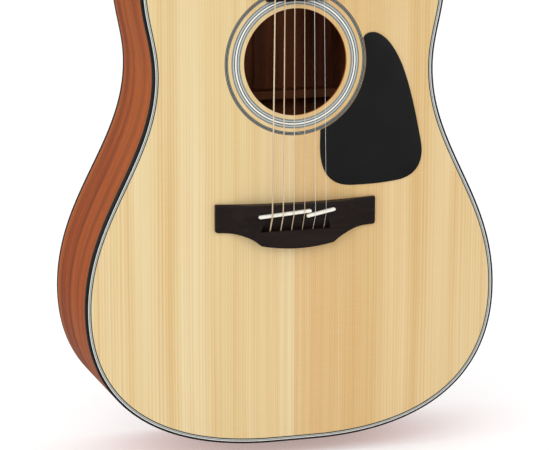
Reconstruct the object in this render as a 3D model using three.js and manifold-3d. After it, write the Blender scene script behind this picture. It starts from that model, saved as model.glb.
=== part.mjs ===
// Steel-string acoustic guitar with a dreadnought body, a pinless bridge and a split saddle.
// Millimetres. +Z runs up the neck, the soundboard faces -Y and the treble side is +X.
// The origin is the centre of the strap button's end face, the lowest point of the guitar.

import * as THREE from "three";
import { mergeVertices } from "three/addons/utils/BufferGeometryUtils.js";
import Module from "manifold-3d";

const wasm = await Module();
wasm.setup();

// Clearances between pieces that are glued, and between pieces that are cut to fit each other.
const GLUE_GAP = 0.05;
const FIT_GAP = 0.3;

// Body. Outline heights are counted from the tail, which stands TAIL_Z above the origin.
const TAIL_Z = 15;
const FRONT_Y = -64;
const BODY_LENGTH = 508;
const TAIL_DEPTH = 128;
const NECK_END_DEPTH = 107.5;
const BACK_ARCH = 4;
const LOWER_BOUT = { half: 200.3, height: 137.5, below: 89.5, above: 89.4 };
const WAIST = { half: 135.1, height: 352.3, below: 78.6, above: 30 };
const UPPER_BOUT = { half: 146, height: 434, below: 32, above: 48 };
const TAIL_FLAT = { half: 20, reach: 114 };
const NECK_FLAT = { half: 40, reach: 66 };
const RIM_END = 19;

// Plates, rims and edge trim.
const TOP_THICKNESS = 2.8;
const BACK_THICKNESS = 3;
const RIM_THICKNESS = 2.6;
const BINDING_WIDTH = 1.6;
const BINDING_HEIGHT = 6;
const PURFLING_EDGE = 5;
const LINING_WIDTH = 6;
const LINING_HEIGHT = 14;

// Soundhole and rosette, centred SOUNDHOLE_Z above the origin.
const SOUNDHOLE_Z = TAIL_Z + 361;
const SOUNDHOLE_RADIUS = 49.5;
const INNER_RING = { inner: 53.4, outer: 61.6 };
const OUTER_RING = { inner: 64.9, outer: 68.1 };
const INLAY_DEPTH = 1.2;
const RING_SEGMENTS = 24;

// Scale and neck. The nut's front face is the zero point of the scale.
const SCALE_LENGTH = 645;
const FRET_COUNT = 20;
const CLEAR_FRETS = 14;
const BODY_END_Z = TAIL_Z + BODY_LENGTH;
const NUT_Z = BODY_END_Z + fretDistance(CLEAR_FRETS);
const NUT_THICKNESS = 6;
const NUT_WIDTH = 43;
const NUT_HEIGHT = 8.9;
const NUT_SLOT_HEIGHT = 7.9;
const NUT_STRING_SPACING = 7.1;
const BOARD_LENGTH = 448;
const BOARD_TAPER = 0.0335;
const BOARD_THICKNESS = 6.5;
const BOARD_RADIUS = 400;
const FRET_WIDTH = 2.2;
const FRET_HEIGHT = 1.1;
const SHAFT_DEPTH = { nut: 15, body: 17.5 };
const HEEL_DEPTH = 125;
const HEEL_REACH = 38.7;
const HEEL_CAP_THICKNESS = 3;
const HEEL_FACE = NECK_END_DEPTH - HEEL_CAP_THICKNESS;
const TENON = { half: 18, length: 16, top: 8, bottom: 92 };
const ROD = { half: 3, top: 3.2, bottom: 11.2, length: 407, stub: 14, stubRadius: 2.2 };

// Headstock, tilted back from the nut's rear face.
const HEAD_TILT = THREE.MathUtils.degToRad(15);
const HEAD_LENGTH = 178;
const HEAD_THICKNESS = 12.3;
const HEADPLATE_THICKNESS = 2;
const HEAD_SHOULDER = { half: 31.5, height: 24 };
const HEAD_TOP = { half: 37.5, height: 171 };
const POST_HEIGHTS = [42, 83, 124];
const POST_INSET = 11;

// Tuning machine: a worm on the button's shaft turns a wheel on the string post.
const WHEEL_TEETH = 14;
const TOOTH_MODULE = 0.75;
const WHEEL = { tip: 5.9, root: 4.3, pitch: (WHEEL_TEETH * TOOTH_MODULE) / 2, thickness: 3, level: 4.7 };
const WORM = { tip: 3.15, root: 1.9, pitch: 2.6, lead: Math.PI * TOOTH_MODULE, turns: 2.25, flank: 0.42 };
const AXIS_SPREAD = WHEEL.pitch + WORM.pitch + 0.1;
const CASE = { inner: -8.6, outer: 9.6, low: -13.4, high: 8.2, corner: 3, height: 9.4, wall: 1.4 };
const SLEEVE = { outer: 4.7, bore: 3.2 };
const POST = { radius: 3, waist: 2.5, rise: 13 };
const BUTTON = { near: 17.5, far: 30.5, half: 9, thickness: 6.2 };
const HEAD_BORE = 5;

// Bridge, its two saddles and the strings that cross them. Heights are from the bridge's top edge.
const BRIDGE_Z = TAIL_Z + 232;
const BRIDGE = {
  half: 78,
  wing: -26.6,
  belly: -44.1,
  corner: 3,
  hollow: 2.1,
  height: 9.5,
  tip: 3.2,
};
const BELLY_CORNER = { half: 35.3, height: -40.2 };
const SADDLE_WIDTH = 3.2;
const SADDLE_HEIGHT = 12.3;
const SADDLE_FLOOR = 3.5;
const SADDLE_LONG = [new THREE.Vector2(-37, -12.5), new THREE.Vector2(11, -8.9)];
const SADDLE_SHORT = [new THREE.Vector2(9.4, -13.5), new THREE.Vector2(34.4, -8.7)];
const RECESS = { top: -15.5, bottom: -27, topHalf: 29, bottomHalf: 36.5, depth: 6.5 };
const HOLE_HEIGHT = 5.5;
const SADDLE_STRING_SPACING = 10.5;
const STRING_RADII = [0.15, 0.2, 0.3, 0.4, 0.53, 0.67];

// Pickguard.
const PICKGUARD_THICKNESS = 1;

// Braces: width, height and the thickness left at each end.
const BRACE_END = 3;
const X_BRACE = { width: 8, height: 14, upper: 158, lower: 228, crossing: SOUNDHOLE_Z - 80 };
const X_BRACE_ANGLE = THREE.MathUtils.degToRad(41);
const UPPER_BRACE = { width: 10, height: 16, z: SOUNDHOLE_Z + SOUNDHOLE_RADIUS + 17, keyway: 4 };
const TONE_BAR = { width: 7, height: 10, turn: THREE.MathUtils.degToRad(-24) };
const TONE_BARS = { upper: { half: 76, x: 18, height: 148 }, lower: { half: 84, x: 42, height: 104 } };
const BACK_BRACES = [
  { height: 80, width: 16, depth: 12 },
  { height: 190, width: 16, depth: 12 },
  { height: 316, width: 8, depth: 15 },
  { height: 425, width: 8, depth: 15 },
];
const STRIP = { half: 6, thickness: 2.2 };
const BLOCKS = { neckHalf: 36, neckLength: 55, tailLength: 30 };

// Strap button, screwed into the tail block.
const STRAP = { flange: 6.8, cap: 7.5, waist: 4.2, screw: 1.8, screwLength: 20 };

const COLOURS = {
  spruce: [0xe2c795, 0.45, 0],
  mahogany: [0xa55a2e, 0.4, 0],
  neckWood: [0x8f5631, 0.5, 0],
  braceWood: [0xdcc294, 0.8, 0],
  rosewood: [0x2a211d, 0.55, 0],
  black: [0x191919, 0.35, 0],
  purfling: [0xb9bdb8, 0.4, 0],
  pickguard: [0x222222, 0.4, 0],
  bone: [0xeeebdd, 0.4, 0],
  chrome: [0xc8cacd, 0.15, 1],
  steel: [0xb4b9ba, 0.3, 1],
  bronze: [0xd9b988, 0.35, 1],
};

const v2 = (x, y) => new THREE.Vector2(x, y);
const v3 = (x, y, z) => new THREE.Vector3(x, y, z);

/** Distance from the nut to a fret in equal temperament. */
function fretDistance(fret) {
  return SCALE_LENGTH * (1 - 2 ** (-fret / 12));
}

/** A named mesh of one piece. */
function piece(name, geometry, colour) {
  const [color, roughness, metalness] = COLOURS[colour];
  const material = new THREE.MeshStandardMaterial({ color, roughness, metalness, flatShading: true });
  const mesh = new THREE.Mesh(geometry, material);
  mesh.name = name;
  return mesh;
}

// ---------------------------------------------------------------- solids

function toSolid(geometry) {
  const bare = geometry.clone();
  bare.deleteAttribute("normal");
  bare.deleteAttribute("uv");
  const merged = mergeVertices(bare, 1e-4);
  return new wasm.Manifold(
    new wasm.Mesh({
      numProp: 3,
      vertProperties: new Float32Array(merged.attributes.position.array),
      triVerts: new Uint32Array(merged.index.array),
    }),
  );
}

function toGeometry(solid) {
  const mesh = solid.getMesh();
  const geometry = new THREE.BufferGeometry();
  geometry.setAttribute("position", new THREE.BufferAttribute(mesh.vertProperties, 3));
  geometry.setIndex(new THREE.BufferAttribute(mesh.triVerts, 1));
  return geometry;
}

/** The first geometry with the others taken away. */
function cut(geometry, ...tools) {
  return toGeometry(tools.reduce((solid, tool) => solid.subtract(toSolid(tool)), toSolid(geometry)));
}

function join(geometry, ...others) {
  return toGeometry(others.reduce((solid, other) => solid.add(toSolid(other)), toSolid(geometry)));
}

function common(a, b) {
  return toGeometry(toSolid(a).intersect(toSolid(b)));
}

/** Turns a copy of the geometry inside out in x, for the piece on the other side. */
function mirrored(geometry) {
  const copy = geometry.clone().applyMatrix4(new THREE.Matrix4().makeScale(-1, 1, 1));
  copy.index.array.reverse();
  return copy;
}

/** Flips the triangles of a closed skin whose faces point inwards. */
function facingOut(geometry) {
  const at = geometry.attributes.position;
  const index = geometry.index.array;
  const [a, b, c] = [v3(0, 0, 0), v3(0, 0, 0), v3(0, 0, 0)];
  let volume = 0;
  for (let i = 0; i < index.length; i += 3) {
    a.fromBufferAttribute(at, index[i]);
    b.fromBufferAttribute(at, index[i + 1]);
    c.fromBufferAttribute(at, index[i + 2]);
    volume += a.dot(b.cross(c));
  }
  if (volume < 0) {
    index.reverse();
  }
  return geometry;
}

/** A closed skin over rings of points. Without end triangles, the last ring joins the first. */
function skin(rings, ends) {
  const count = rings[0].length;
  const spans = ends ? rings.length - 1 : rings.length;
  const index = [];
  for (let i = 0; i < spans; i += 1) {
    const here = i * count;
    const next = ((i + 1) % rings.length) * count;
    for (let k = 0; k < count; k += 1) {
      const after = (k + 1) % count;
      index.push(here + k, here + after, next + after);
      index.push(here + k, next + after, next + k);
    }
  }
  const far = (rings.length - 1) * count;
  for (const [a, b, c] of ends ?? []) {
    index.push(c, b, a);
    index.push(far + a, far + b, far + c);
  }
  const geometry = new THREE.BufferGeometry();
  const flat = rings.flat().flatMap((p) => [p.x, p.y, p.z]);
  geometry.setAttribute("position", new THREE.Float32BufferAttribute(flat, 3));
  geometry.setIndex(index);
  return facingOut(geometry);
}

/** End triangles for a convex ring. */
function fan(count) {
  return Array.from({ length: count - 2 }, (_, k) => [0, k + 1, k + 2]);
}

/** End triangles for a thin ring that runs out along one side and back along the other. */
function ladder(count) {
  const triangles = [];
  for (let k = 0; k < count / 2 - 1; k += 1) {
    const back = count - 1 - k;
    triangles.push([k, k + 1, back - 1], [k, back - 1, back]);
  }
  return triangles;
}

/** End triangles for any other ring, from its flat outline. */
function endsOf(outline) {
  const triangles = THREE.ShapeUtils.triangulateShape(outline, []);
  return THREE.ShapeUtils.isClockWise(outline) ? triangles.map((t) => t.reverse()) : triangles;
}

// Stands a shape drawn in x and height up in the guitar's x-z plane.
const UPRIGHT = new THREE.Matrix4().set(1, 0, 0, 0, 0, 0, -1, 0, 0, 1, 0, 0, 0, 0, 0, 1);

/** A flat plate between two y levels, from a shape drawn in x and z. */
function plate(shape, front, back, curveSegments = 8) {
  const depth = back - front;
  const geometry = new THREE.ExtrudeGeometry(shape, { depth, bevelEnabled: false, curveSegments });
  return geometry.applyMatrix4(UPRIGHT).translate(0, back, 0);
}

/** A box between two corners. */
function block(x0, x1, y0, y1, z0, z1) {
  const box = new THREE.BoxGeometry(x1 - x0, y1 - y0, z1 - z0);
  return box.translate((x0 + x1) / 2, (y0 + y1) / 2, (z0 + z1) / 2);
}

/** A rod along z between two heights. */
function rod(radius, low, high, sides = 12) {
  const cylinder = new THREE.CylinderGeometry(radius, radius, high - low, sides);
  return cylinder.applyMatrix4(UPRIGHT).translate(0, 0, (low + high) / 2);
}

/** A solid of revolution about z, from a profile of [radius, height] pairs on the axis at both ends. */
function turned(profile, sides) {
  const points = profile.map(([r, z]) => v2(r, z));
  return new THREE.LatheGeometry(points, sides).applyMatrix4(UPRIGHT);
}

function ringShape(inner, outer, height) {
  const shape = new THREE.Shape();
  shape.absarc(0, height, outer, 0, 2 * Math.PI);
  const hole = new THREE.Path();
  hole.absarc(0, height, inner, 0, 2 * Math.PI);
  shape.holes.push(hole);
  return shape;
}

// ---------------------------------------------------------------- body outline

function station(curve, t) {
  const point = curve.getPoint(t);
  const tangent = curve.getTangent(t);
  return { x: point.x, z: point.y, nx: -tangent.y, nz: tangent.x };
}

/** Stations up the treble half of the body's edge, from the tail's centre to the neck's. */
function trebleStations() {
  const { half: low } = LOWER_BOUT;
  const { half: mid } = WAIST;
  const { half: high } = UPPER_BOUT;
  const runs = [
    [new THREE.LineCurve(v2(0, 0), v2(TAIL_FLAT.half, 0)), 1],
    [
      new THREE.CubicBezierCurve(
        v2(TAIL_FLAT.half, 0),
        v2(TAIL_FLAT.half + TAIL_FLAT.reach, 0),
        v2(low, LOWER_BOUT.height - LOWER_BOUT.below),
        v2(low, LOWER_BOUT.height),
      ),
      10,
    ],
    [
      new THREE.CubicBezierCurve(
        v2(low, LOWER_BOUT.height),
        v2(low, LOWER_BOUT.height + LOWER_BOUT.above),
        v2(mid, WAIST.height - WAIST.below),
        v2(mid, WAIST.height),
      ),
      9,
    ],
    [
      new THREE.CubicBezierCurve(
        v2(mid, WAIST.height),
        v2(mid, WAIST.height + WAIST.above),
        v2(high, UPPER_BOUT.height - UPPER_BOUT.below),
        v2(high, UPPER_BOUT.height),
      ),
      4,
    ],
    [
      new THREE.CubicBezierCurve(
        v2(high, UPPER_BOUT.height),
        v2(high, UPPER_BOUT.height + UPPER_BOUT.above),
        v2(NECK_FLAT.half + NECK_FLAT.reach, BODY_LENGTH),
        v2(NECK_FLAT.half, BODY_LENGTH),
      ),
      8,
    ],
    [new THREE.LineCurve(v2(NECK_FLAT.half, BODY_LENGTH), v2(RIM_END, BODY_LENGTH)), 1],
    [new THREE.LineCurve(v2(RIM_END, BODY_LENGTH), v2(0, BODY_LENGTH)), 1],
  ];
  const stations = runs.flatMap(([curve, steps]) =>
    Array.from({ length: steps }, (_, i) => station(curve, i / steps)),
  );
  stations.push(station(runs.at(-1)[0], 1));
  return stations;
}

const toBass = (s) => ({ ...s, x: -s.x, nx: -s.nx });
const TREBLE = trebleStations();
const BASS = TREBLE.map(toBass);
// All round the body, and the same loop left open across the neck.
const LOOP = [...TREBLE, ...BASS.slice(1, -1).reverse()];
const OPEN_AT_NECK = [...BASS.slice(1, -1).reverse(), ...TREBLE.slice(0, -1)];
const OPEN_AT_BLOCK = [...BASS.slice(1, -2).reverse(), ...TREBLE.slice(0, -2)];

/** The point of a station, moved in from the body's edge. */
function inset(s, distance) {
  return v2(s.x + s.nx * distance, s.z + s.nz * distance + TAIL_Z);
}

/** Half the body's width at a height above the origin. */
function halfWidth(z) {
  const above = TREBLE.findIndex((s) => s.z + TAIL_Z > z);
  const [a, b] = [TREBLE[above - 1], TREBLE[above]];
  const t = (z - TAIL_Z - a.z) / (b.z - a.z);
  return THREE.MathUtils.lerp(a.x, b.x, t);
}

/** A level behind the front face, and a level ahead of the plane that the back's edge lies in. */
const front = (depth) => () => FRONT_Y + depth;
const rear = (depth) => (z) => {
  const along = (z - TAIL_Z) / BODY_LENGTH;
  return FRONT_Y + THREE.MathUtils.lerp(TAIL_DEPTH, NECK_END_DEPTH, along) - depth;
};

/** How far the back bulges beyond that plane: nothing at its edge, most along its middle. */
function backBulge(x, z) {
  const across = x / halfWidth(z);
  const along = ((z - TAIL_Z) / BODY_LENGTH) * 2 - 1;
  return BACK_ARCH * (1 - across ** 2) * (1 - along ** 4);
}

function backInside(x, z) {
  return rear(BACK_THICKNESS)(z) + backBulge(x, z);
}

/** A strip round the body edge with one section of [inset, level] pairs at every station. */
function edgeStrip(stations, section) {
  const rings = stations.map((s) =>
    section.map(([distance, level]) => {
      const p = inset(s, distance);
      return v3(p.x, level(p.y), p.y);
    }),
  );
  if (stations === LOOP) {
    return skin(rings);
  }
  const outline = section.map(([distance, level]) => v2(distance, level(TAIL_Z)));
  return skin(rings, endsOf(outline));
}

// ---------------------------------------------------------------- body shell

/** The flat outline of the body, moved in from its edge. */
function bodyShape(distance) {
  const corners = [...TREBLE.slice(1, -2), ...BASS.slice(1, -2).reverse()];
  return new THREE.Shape(corners.map((s) => inset(s, distance)));
}

function soundboard() {
  const shape = bodyShape(PURFLING_EDGE + GLUE_GAP);
  const hole = new THREE.Path();
  hole.absarc(0, SOUNDHOLE_Z, SOUNDHOLE_RADIUS, 0, 2 * Math.PI);
  shape.holes.push(hole);
  const grooves = [INNER_RING, OUTER_RING].map(({ inner, outer }) =>
    plate(
      ringShape(inner - GLUE_GAP, outer + GLUE_GAP, SOUNDHOLE_Z),
      FRONT_Y - 1,
      FRONT_Y + INLAY_DEPTH + GLUE_GAP,
      RING_SEGMENTS,
    ),
  );
  return cut(plate(shape, FRONT_Y, FRONT_Y + TOP_THICKNESS, RING_SEGMENTS), ...grooves);
}

function rosetteRing({ inner, outer }) {
  const shape = ringShape(inner, outer, SOUNDHOLE_Z);
  return plate(shape, FRONT_Y, FRONT_Y + INLAY_DEPTH, RING_SEGMENTS);
}

/** The back: rows across the body, each one out along the outside and home along the inside. */
function back() {
  const columns = 6;
  const rows = TREBLE.slice(1, -2).map((s) => inset(s, BINDING_WIDTH + GLUE_GAP));
  const rings = rows.map(({ x: half, y: z }) => {
    const xs = Array.from({ length: columns + 1 }, (_, k) => half * ((2 * k) / columns - 1));
    const outside = xs.map((x) => v3(x, rear(0)(z) + backBulge(x, z), z));
    const inside = xs.map((x) => v3(x, backInside(x, z), z));
    return [...outside, ...inside.reverse()];
  });
  return skin(rings, ladder(rings[0].length));
}

/** One side, rebated along both edges for the bindings and drilled for the strap button's screw. */
function rim(stations) {
  const rebate = BINDING_WIDTH + GLUE_GAP;
  const lip = BINDING_HEIGHT + GLUE_GAP;
  const side = edgeStrip(stations, [
    [0, front(lip)],
    [rebate, front(lip)],
    [rebate, front(TOP_THICKNESS + GLUE_GAP)],
    [RIM_THICKNESS, front(TOP_THICKNESS + GLUE_GAP)],
    [RIM_THICKNESS, rear(BACK_THICKNESS + GLUE_GAP)],
    [rebate, rear(BACK_THICKNESS + GLUE_GAP)],
    [rebate, rear(lip)],
    [0, rear(lip)],
  ]);
  return cut(side, strapScrewHole());
}

function topBinding() {
  return edgeStrip(OPEN_AT_NECK, [
    [0, front(0)],
    [BINDING_WIDTH, front(0)],
    [BINDING_WIDTH, front(BINDING_HEIGHT)],
    [0, front(BINDING_HEIGHT)],
  ]);
}

function topPurfling() {
  return edgeStrip(LOOP, [
    [BINDING_WIDTH + GLUE_GAP, front(0)],
    [PURFLING_EDGE, front(0)],
    [PURFLING_EDGE, front(TOP_THICKNESS)],
    [BINDING_WIDTH + GLUE_GAP, front(TOP_THICKNESS)],
  ]);
}

function backBinding() {
  return edgeStrip(LOOP, [
    [0, rear(BINDING_HEIGHT)],
    [BINDING_WIDTH, rear(BINDING_HEIGHT)],
    [BINDING_WIDTH, rear(0)],
    [0, rear(0)],
  ]);
}

/** A tapered lining strip in the corner between a rim and a plate. */
function lining(level, plateThickness, clearance = 0) {
  const outside = RIM_THICKNESS + GLUE_GAP - clearance;
  const inside = RIM_THICKNESS + LINING_WIDTH + clearance;
  const face = plateThickness + GLUE_GAP - clearance;
  const foot = plateThickness + LINING_HEIGHT + clearance;
  return edgeStrip(OPEN_AT_BLOCK, [
    [outside, level(face)],
    [inside, level(face)],
    [outside + 2 + 3 * clearance, level(foot)],
    [outside, level(foot)],
  ]);
}

// ---------------------------------------------------------------- blocks and braces

function strapScrewHole() {
  return rod(STRAP.screw + FIT_GAP, TAIL_Z - 2, TAIL_Z + STRAP.screwLength + 4, 8);
}

function strapButton() {
  return turned(
    [
      [0, 0],
      [STRAP.cap - 1, 0],
      [STRAP.cap, 1],
      [STRAP.cap, 3],
      [STRAP.waist, 6],
      [STRAP.waist, 9.5],
      [STRAP.flange, 13],
      [STRAP.flange, TAIL_Z],
      [STRAP.screw, TAIL_Z],
      [STRAP.screw, TAIL_Z + STRAP.screwLength - 3],
      [0, TAIL_Z + STRAP.screwLength],
    ],
    16,
  );
}

/** The tail block follows the rims inside and is notched for both linings. */
function tailBlock() {
  const height = TAIL_Z + BLOCKS.tailLength;
  const foot = TREBLE.slice(1, 3).map((s) => inset(s, RIM_THICKNESS + GLUE_GAP));
  const shape = new THREE.Shape([
    ...foot,
    v2(foot.at(-1).x, height),
    v2(-foot.at(-1).x, height),
    ...foot.map((p) => v2(-p.x, p.y)).reverse(),
  ]);
  const deepest = rear(BACK_THICKNESS + 1)(height);
  const body = plate(shape, FRONT_Y + TOP_THICKNESS + GLUE_GAP, deepest);
  return cut(
    body,
    lining(front, TOP_THICKNESS, FIT_GAP),
    lining(rear, BACK_THICKNESS, FIT_GAP),
    strapScrewHole(),
  );
}

/** The neck block, with a mortise for the tenon and a slot for the truss rod. */
function neckBlock() {
  const high = BODY_END_Z - RIM_THICKNESS - GLUE_GAP;
  const low = high - BLOCKS.neckLength;
  const half = BLOCKS.neckHalf;
  const faceY = FRONT_Y + TOP_THICKNESS + GLUE_GAP;
  const deepest = rear(BACK_THICKNESS + 1)(high);
  const mortise = block(
    -TENON.half - FIT_GAP,
    TENON.half + FIT_GAP,
    FRONT_Y + TENON.top - FIT_GAP,
    FRONT_Y + TENON.bottom + FIT_GAP,
    BODY_END_Z - TENON.length - FIT_GAP,
    BODY_END_Z,
  );
  return cut(block(-half, half, faceY, deepest, low, high), mortise, rodSlot(low - 1, BODY_END_Z));
}

/** A bar with its ends thinned, lying along x with its foot at y = 0. */
function braceBar(left, right, width, height) {
  const thinning = Math.min(34, (left + right) / 4);
  const shape = new THREE.Shape([
    v2(-left, 0),
    v2(right, 0),
    v2(right, BRACE_END),
    v2(right - thinning, height),
    v2(-left + thinning, height),
    v2(-left, BRACE_END),
  ]);
  const options = { depth: width, bevelEnabled: false };
  return new THREE.ExtrudeGeometry(shape, options).translate(0, 0, -width / 2);
}

/** Lays a bar on the soundboard's inner face at a turn and a place. */
function onTop(geometry, turn, x, z) {
  return geometry.rotateY(turn).translate(x, FRONT_Y + TOP_THICKNESS + GLUE_GAP, z);
}

/** One arm of the X; the arms are halved into each other where they cross. */
function xBrace(side) {
  const { width, height, upper, lower, crossing } = X_BRACE;
  const ends = side > 0 ? [upper, lower] : [lower, upper];
  const arm = onTop(braceBar(...ends, width, height), side * X_BRACE_ANGLE, 0, crossing);
  const half = width / 2 + FIT_GAP;
  const middle = height / 2;
  const reach = 2 * width;
  const notch =
    side > 0
      ? block(-reach, reach, middle - FIT_GAP / 2, height + 1, -half, half)
      : block(-reach, reach, -1, middle + FIT_GAP / 2, -half, half);
  return cut(arm, onTop(notch, -side * X_BRACE_ANGLE, 0, crossing));
}

/** The brace above the soundhole, bored for the key that turns the truss rod's nut. */
function transverseBrace() {
  const { width, height, z, keyway } = UPPER_BRACE;
  const half = halfWidth(z) - RIM_THICKNESS - LINING_WIDTH - 3;
  const bar = onTop(braceBar(half, half, width, height), 0, 0, z);
  const bore = rod(keyway, z - width, z + width, 8);
  return cut(bar, bore.translate(0, FRONT_Y + (ROD.top + ROD.bottom) / 2 + 1, 0));
}

function toneBar({ half, x, height }) {
  return onTop(braceBar(half, half, TONE_BAR.width, TONE_BAR.height), TONE_BAR.turn, x, TAIL_Z + height);
}

/** The bridge plate fits between the lower arms of the X. */
function bridgePlate() {
  const top = BRIDGE_Z + 3;
  const bottom = BRIDGE_Z - 42;
  const half = 76;
  const room = (z) => (X_BRACE.crossing - z) / Math.tan(X_BRACE_ANGLE) - X_BRACE.width;
  const shoulder = X_BRACE.crossing - (half + X_BRACE.width) * Math.tan(X_BRACE_ANGLE);
  const shape = new THREE.Shape([
    v2(-room(top), top),
    v2(-half, shoulder),
    v2(-half, bottom),
    v2(half, bottom),
    v2(half, shoulder),
    v2(room(top), top),
  ]);
  const faceY = FRONT_Y + TOP_THICKNESS + GLUE_GAP;
  return plate(shape, faceY, faceY + 2.5);
}

/** A back brace follows the bulge of the back and is notched over the centre strip. */
function backBrace({ height, width, depth }) {
  const z = TAIL_Z + height;
  const half = halfWidth(z) - RIM_THICKNESS - LINING_WIDTH - 8;
  const thinning = 34;
  const foot = Array.from({ length: 9 }, (_, k) => {
    const x = half * (k / 4 - 1);
    return v2(x, backInside(x, z) - 2 * FIT_GAP);
  });
  const edge = foot[0].y;
  const shape = new THREE.Shape([
    ...foot,
    v2(half, edge - BRACE_END),
    v2(half - thinning, edge - depth),
    v2(thinning - half, edge - depth),
    v2(-half, edge - BRACE_END),
  ]);
  const bar = new THREE.ExtrudeGeometry(shape, { depth: width, bevelEnabled: false });
  const side = STRIP.half + FIT_GAP;
  const inner = backInside(0, z);
  const notch = block(
    -side,
    side,
    inner - STRIP.thickness - 3 * FIT_GAP,
    inner + 1,
    z - width,
    z + width,
  );
  return cut(bar.translate(0, 0, z - width / 2), notch);
}

/** The cross-grained strip over the back's centre joint. */
function backStrip() {
  const steps = 12;
  const low = TAIL_Z + BLOCKS.tailLength + 4;
  const high = BODY_END_Z - RIM_THICKNESS - BLOCKS.neckLength - 5;
  const rings = Array.from({ length: steps + 1 }, (_, i) => {
    const z = THREE.MathUtils.lerp(low, high, i / steps);
    const y = backInside(0, z) - GLUE_GAP * 2;
    return [
      v3(-STRIP.half, y, z),
      v3(STRIP.half, y, z),
      v3(STRIP.half, y - STRIP.thickness, z),
      v3(-STRIP.half, y - STRIP.thickness, z),
    ];
  });
  return skin(rings, fan(4));
}

// ---------------------------------------------------------------- neck and fingerboard

/** Half the fingerboard's width at a height above the origin. */
function boardHalf(z) {
  return (NUT_WIDTH + (NUT_Z - z) * BOARD_TAPER) / 2;
}

/** Depth of the neck behind the fingerboard, running out into the heel at the body. */
function shaftDepth(z) {
  const out = z - BODY_END_Z;
  const plain = THREE.MathUtils.lerp(SHAFT_DEPTH.body, SHAFT_DEPTH.nut, out / (NUT_Z - BODY_END_Z));
  return plain + (HEEL_DEPTH - plain) / (1 + (out / HEEL_REACH) ** 4);
}

/** The shaft and heel: D-shaped sections, cut off flat where the heel meets its cap. */
function shaft() {
  const arc = 14;
  const heelSteps = [0, 7, 14, 20, 26, 31, 36, 42, 50, 62, 80, 110];
  const heights = [...heelSteps.map((out) => BODY_END_Z + out), NUT_Z, NUT_Z + NUT_THICKNESS + 6];
  const rings = heights.map((z) => {
    const half = boardHalf(z) - 0.2;
    const depth = shaftDepth(z);
    return Array.from({ length: arc + 1 }, (_, k) => {
      const turn = (Math.PI * k) / arc;
      return v3(half * Math.cos(turn), FRONT_Y + Math.min(depth * Math.sin(turn), HEEL_FACE), z);
    });
  });
  return skin(rings, fan(arc + 1));
}

/** Everything on the headstock is placed in its own frame: +Z up its face, +Y out of its back. */
const head = new THREE.Group();
head.position.set(0, FRONT_Y, NUT_Z + NUT_THICKNESS);
head.rotation.x = -HEAD_TILT;
head.updateMatrixWorld(true);

function headShape(margin) {
  const shape = new THREE.Shape();
  const nut = NUT_WIDTH / 2 - 0.2;
  const { half: low, height: neckline } = HEAD_SHOULDER;
  const { half: high, height: top } = HEAD_TOP;
  shape.moveTo(-nut, margin);
  shape.lineTo(nut, margin);
  shape.bezierCurveTo(nut, neckline * 0.45, low, neckline * 0.4, low, neckline);
  shape.lineTo(high, top);
  shape.quadraticCurveTo(high / 2, HEAD_LENGTH - 1, 0, HEAD_LENGTH);
  shape.quadraticCurveTo(-high / 2, HEAD_LENGTH - 1, -high, top);
  shape.lineTo(-low, neckline);
  shape.bezierCurveTo(-low, neckline * 0.4, -nut, neckline * 0.45, -nut, margin);
  return shape;
}

/** String posts in the headstock's frame: string 1 is the lowest on the treble side. */
function postPlace(string) {
  const side = string <= 3 ? 1 : -1;
  const height = POST_HEIGHTS[string <= 3 ? string - 1 : 6 - string];
  const rise = (height - HEAD_SHOULDER.height) / (HEAD_TOP.height - HEAD_SHOULDER.height);
  const edge = THREE.MathUtils.lerp(HEAD_SHOULDER.half, HEAD_TOP.half, rise);
  return { side, x: side * (edge - POST_INSET), z: height };
}

const STRINGS = [1, 2, 3, 4, 5, 6];
const HEAD_BACK = HEADPLATE_THICKNESS + HEAD_THICKNESS;

/** Bores for the six tuning machines, in the headstock's frame. */
function headBores() {
  return STRINGS.map((string) => {
    const { x, z } = postPlace(string);
    const bore = new THREE.CylinderGeometry(HEAD_BORE, HEAD_BORE, 3 * HEAD_BACK, 12);
    return bore.translate(x, HEAD_BACK / 2, z);
  });
}

function headplate() {
  return cut(plate(headShape(0.4), 0, HEADPLATE_THICKNESS - 0.2), ...headBores());
}

function rodSlot(low, high) {
  const half = ROD.half + FIT_GAP;
  return block(-half, half, FRONT_Y - 1, FRONT_Y + ROD.bottom + FIT_GAP, low, high);
}

/** Shaft, heel, tenon and headstock are one length of wood. */
function neck() {
  const blank = plate(headShape(0), HEADPLATE_THICKNESS, HEAD_BACK);
  const headstock = cut(blank, ...headBores()).applyMatrix4(head.matrixWorld);
  const tenon = block(
    -TENON.half,
    TENON.half,
    FRONT_Y + TENON.top,
    FRONT_Y + TENON.bottom,
    BODY_END_Z - TENON.length,
    BODY_END_Z + 2,
  );
  const plateRoom = plate(headShape(-8), -8, HEADPLATE_THICKNESS).applyMatrix4(head.matrixWorld);
  const slot = rodSlot(BODY_END_Z - TENON.length - 1, rodLow() + ROD.length + FIT_GAP);
  return cut(join(cut(shaft(), nutRoom(), plateRoom), headstock, tenon), slot);
}

/** Space over the headstock's face behind the nut. */
function nutRoom() {
  const low = NUT_Z + NUT_THICKNESS;
  return block(-40, 40, FRONT_Y - 5, FRONT_Y, low, low + 20);
}

/** Where the truss rod's flat part starts, just inside the neck block's lower face. */
function rodLow() {
  return BODY_END_Z - 58;
}

function trussRod() {
  const low = rodLow();
  const bar = block(
    -ROD.half,
    ROD.half,
    FRONT_Y + ROD.top,
    FRONT_Y + ROD.bottom,
    low,
    low + ROD.length,
  );
  const stub = rod(ROD.stubRadius, low - ROD.stub, low + 5, 12);
  return join(bar, stub.translate(0, FRONT_Y + (ROD.top + ROD.bottom) / 2, 0));
}

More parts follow.
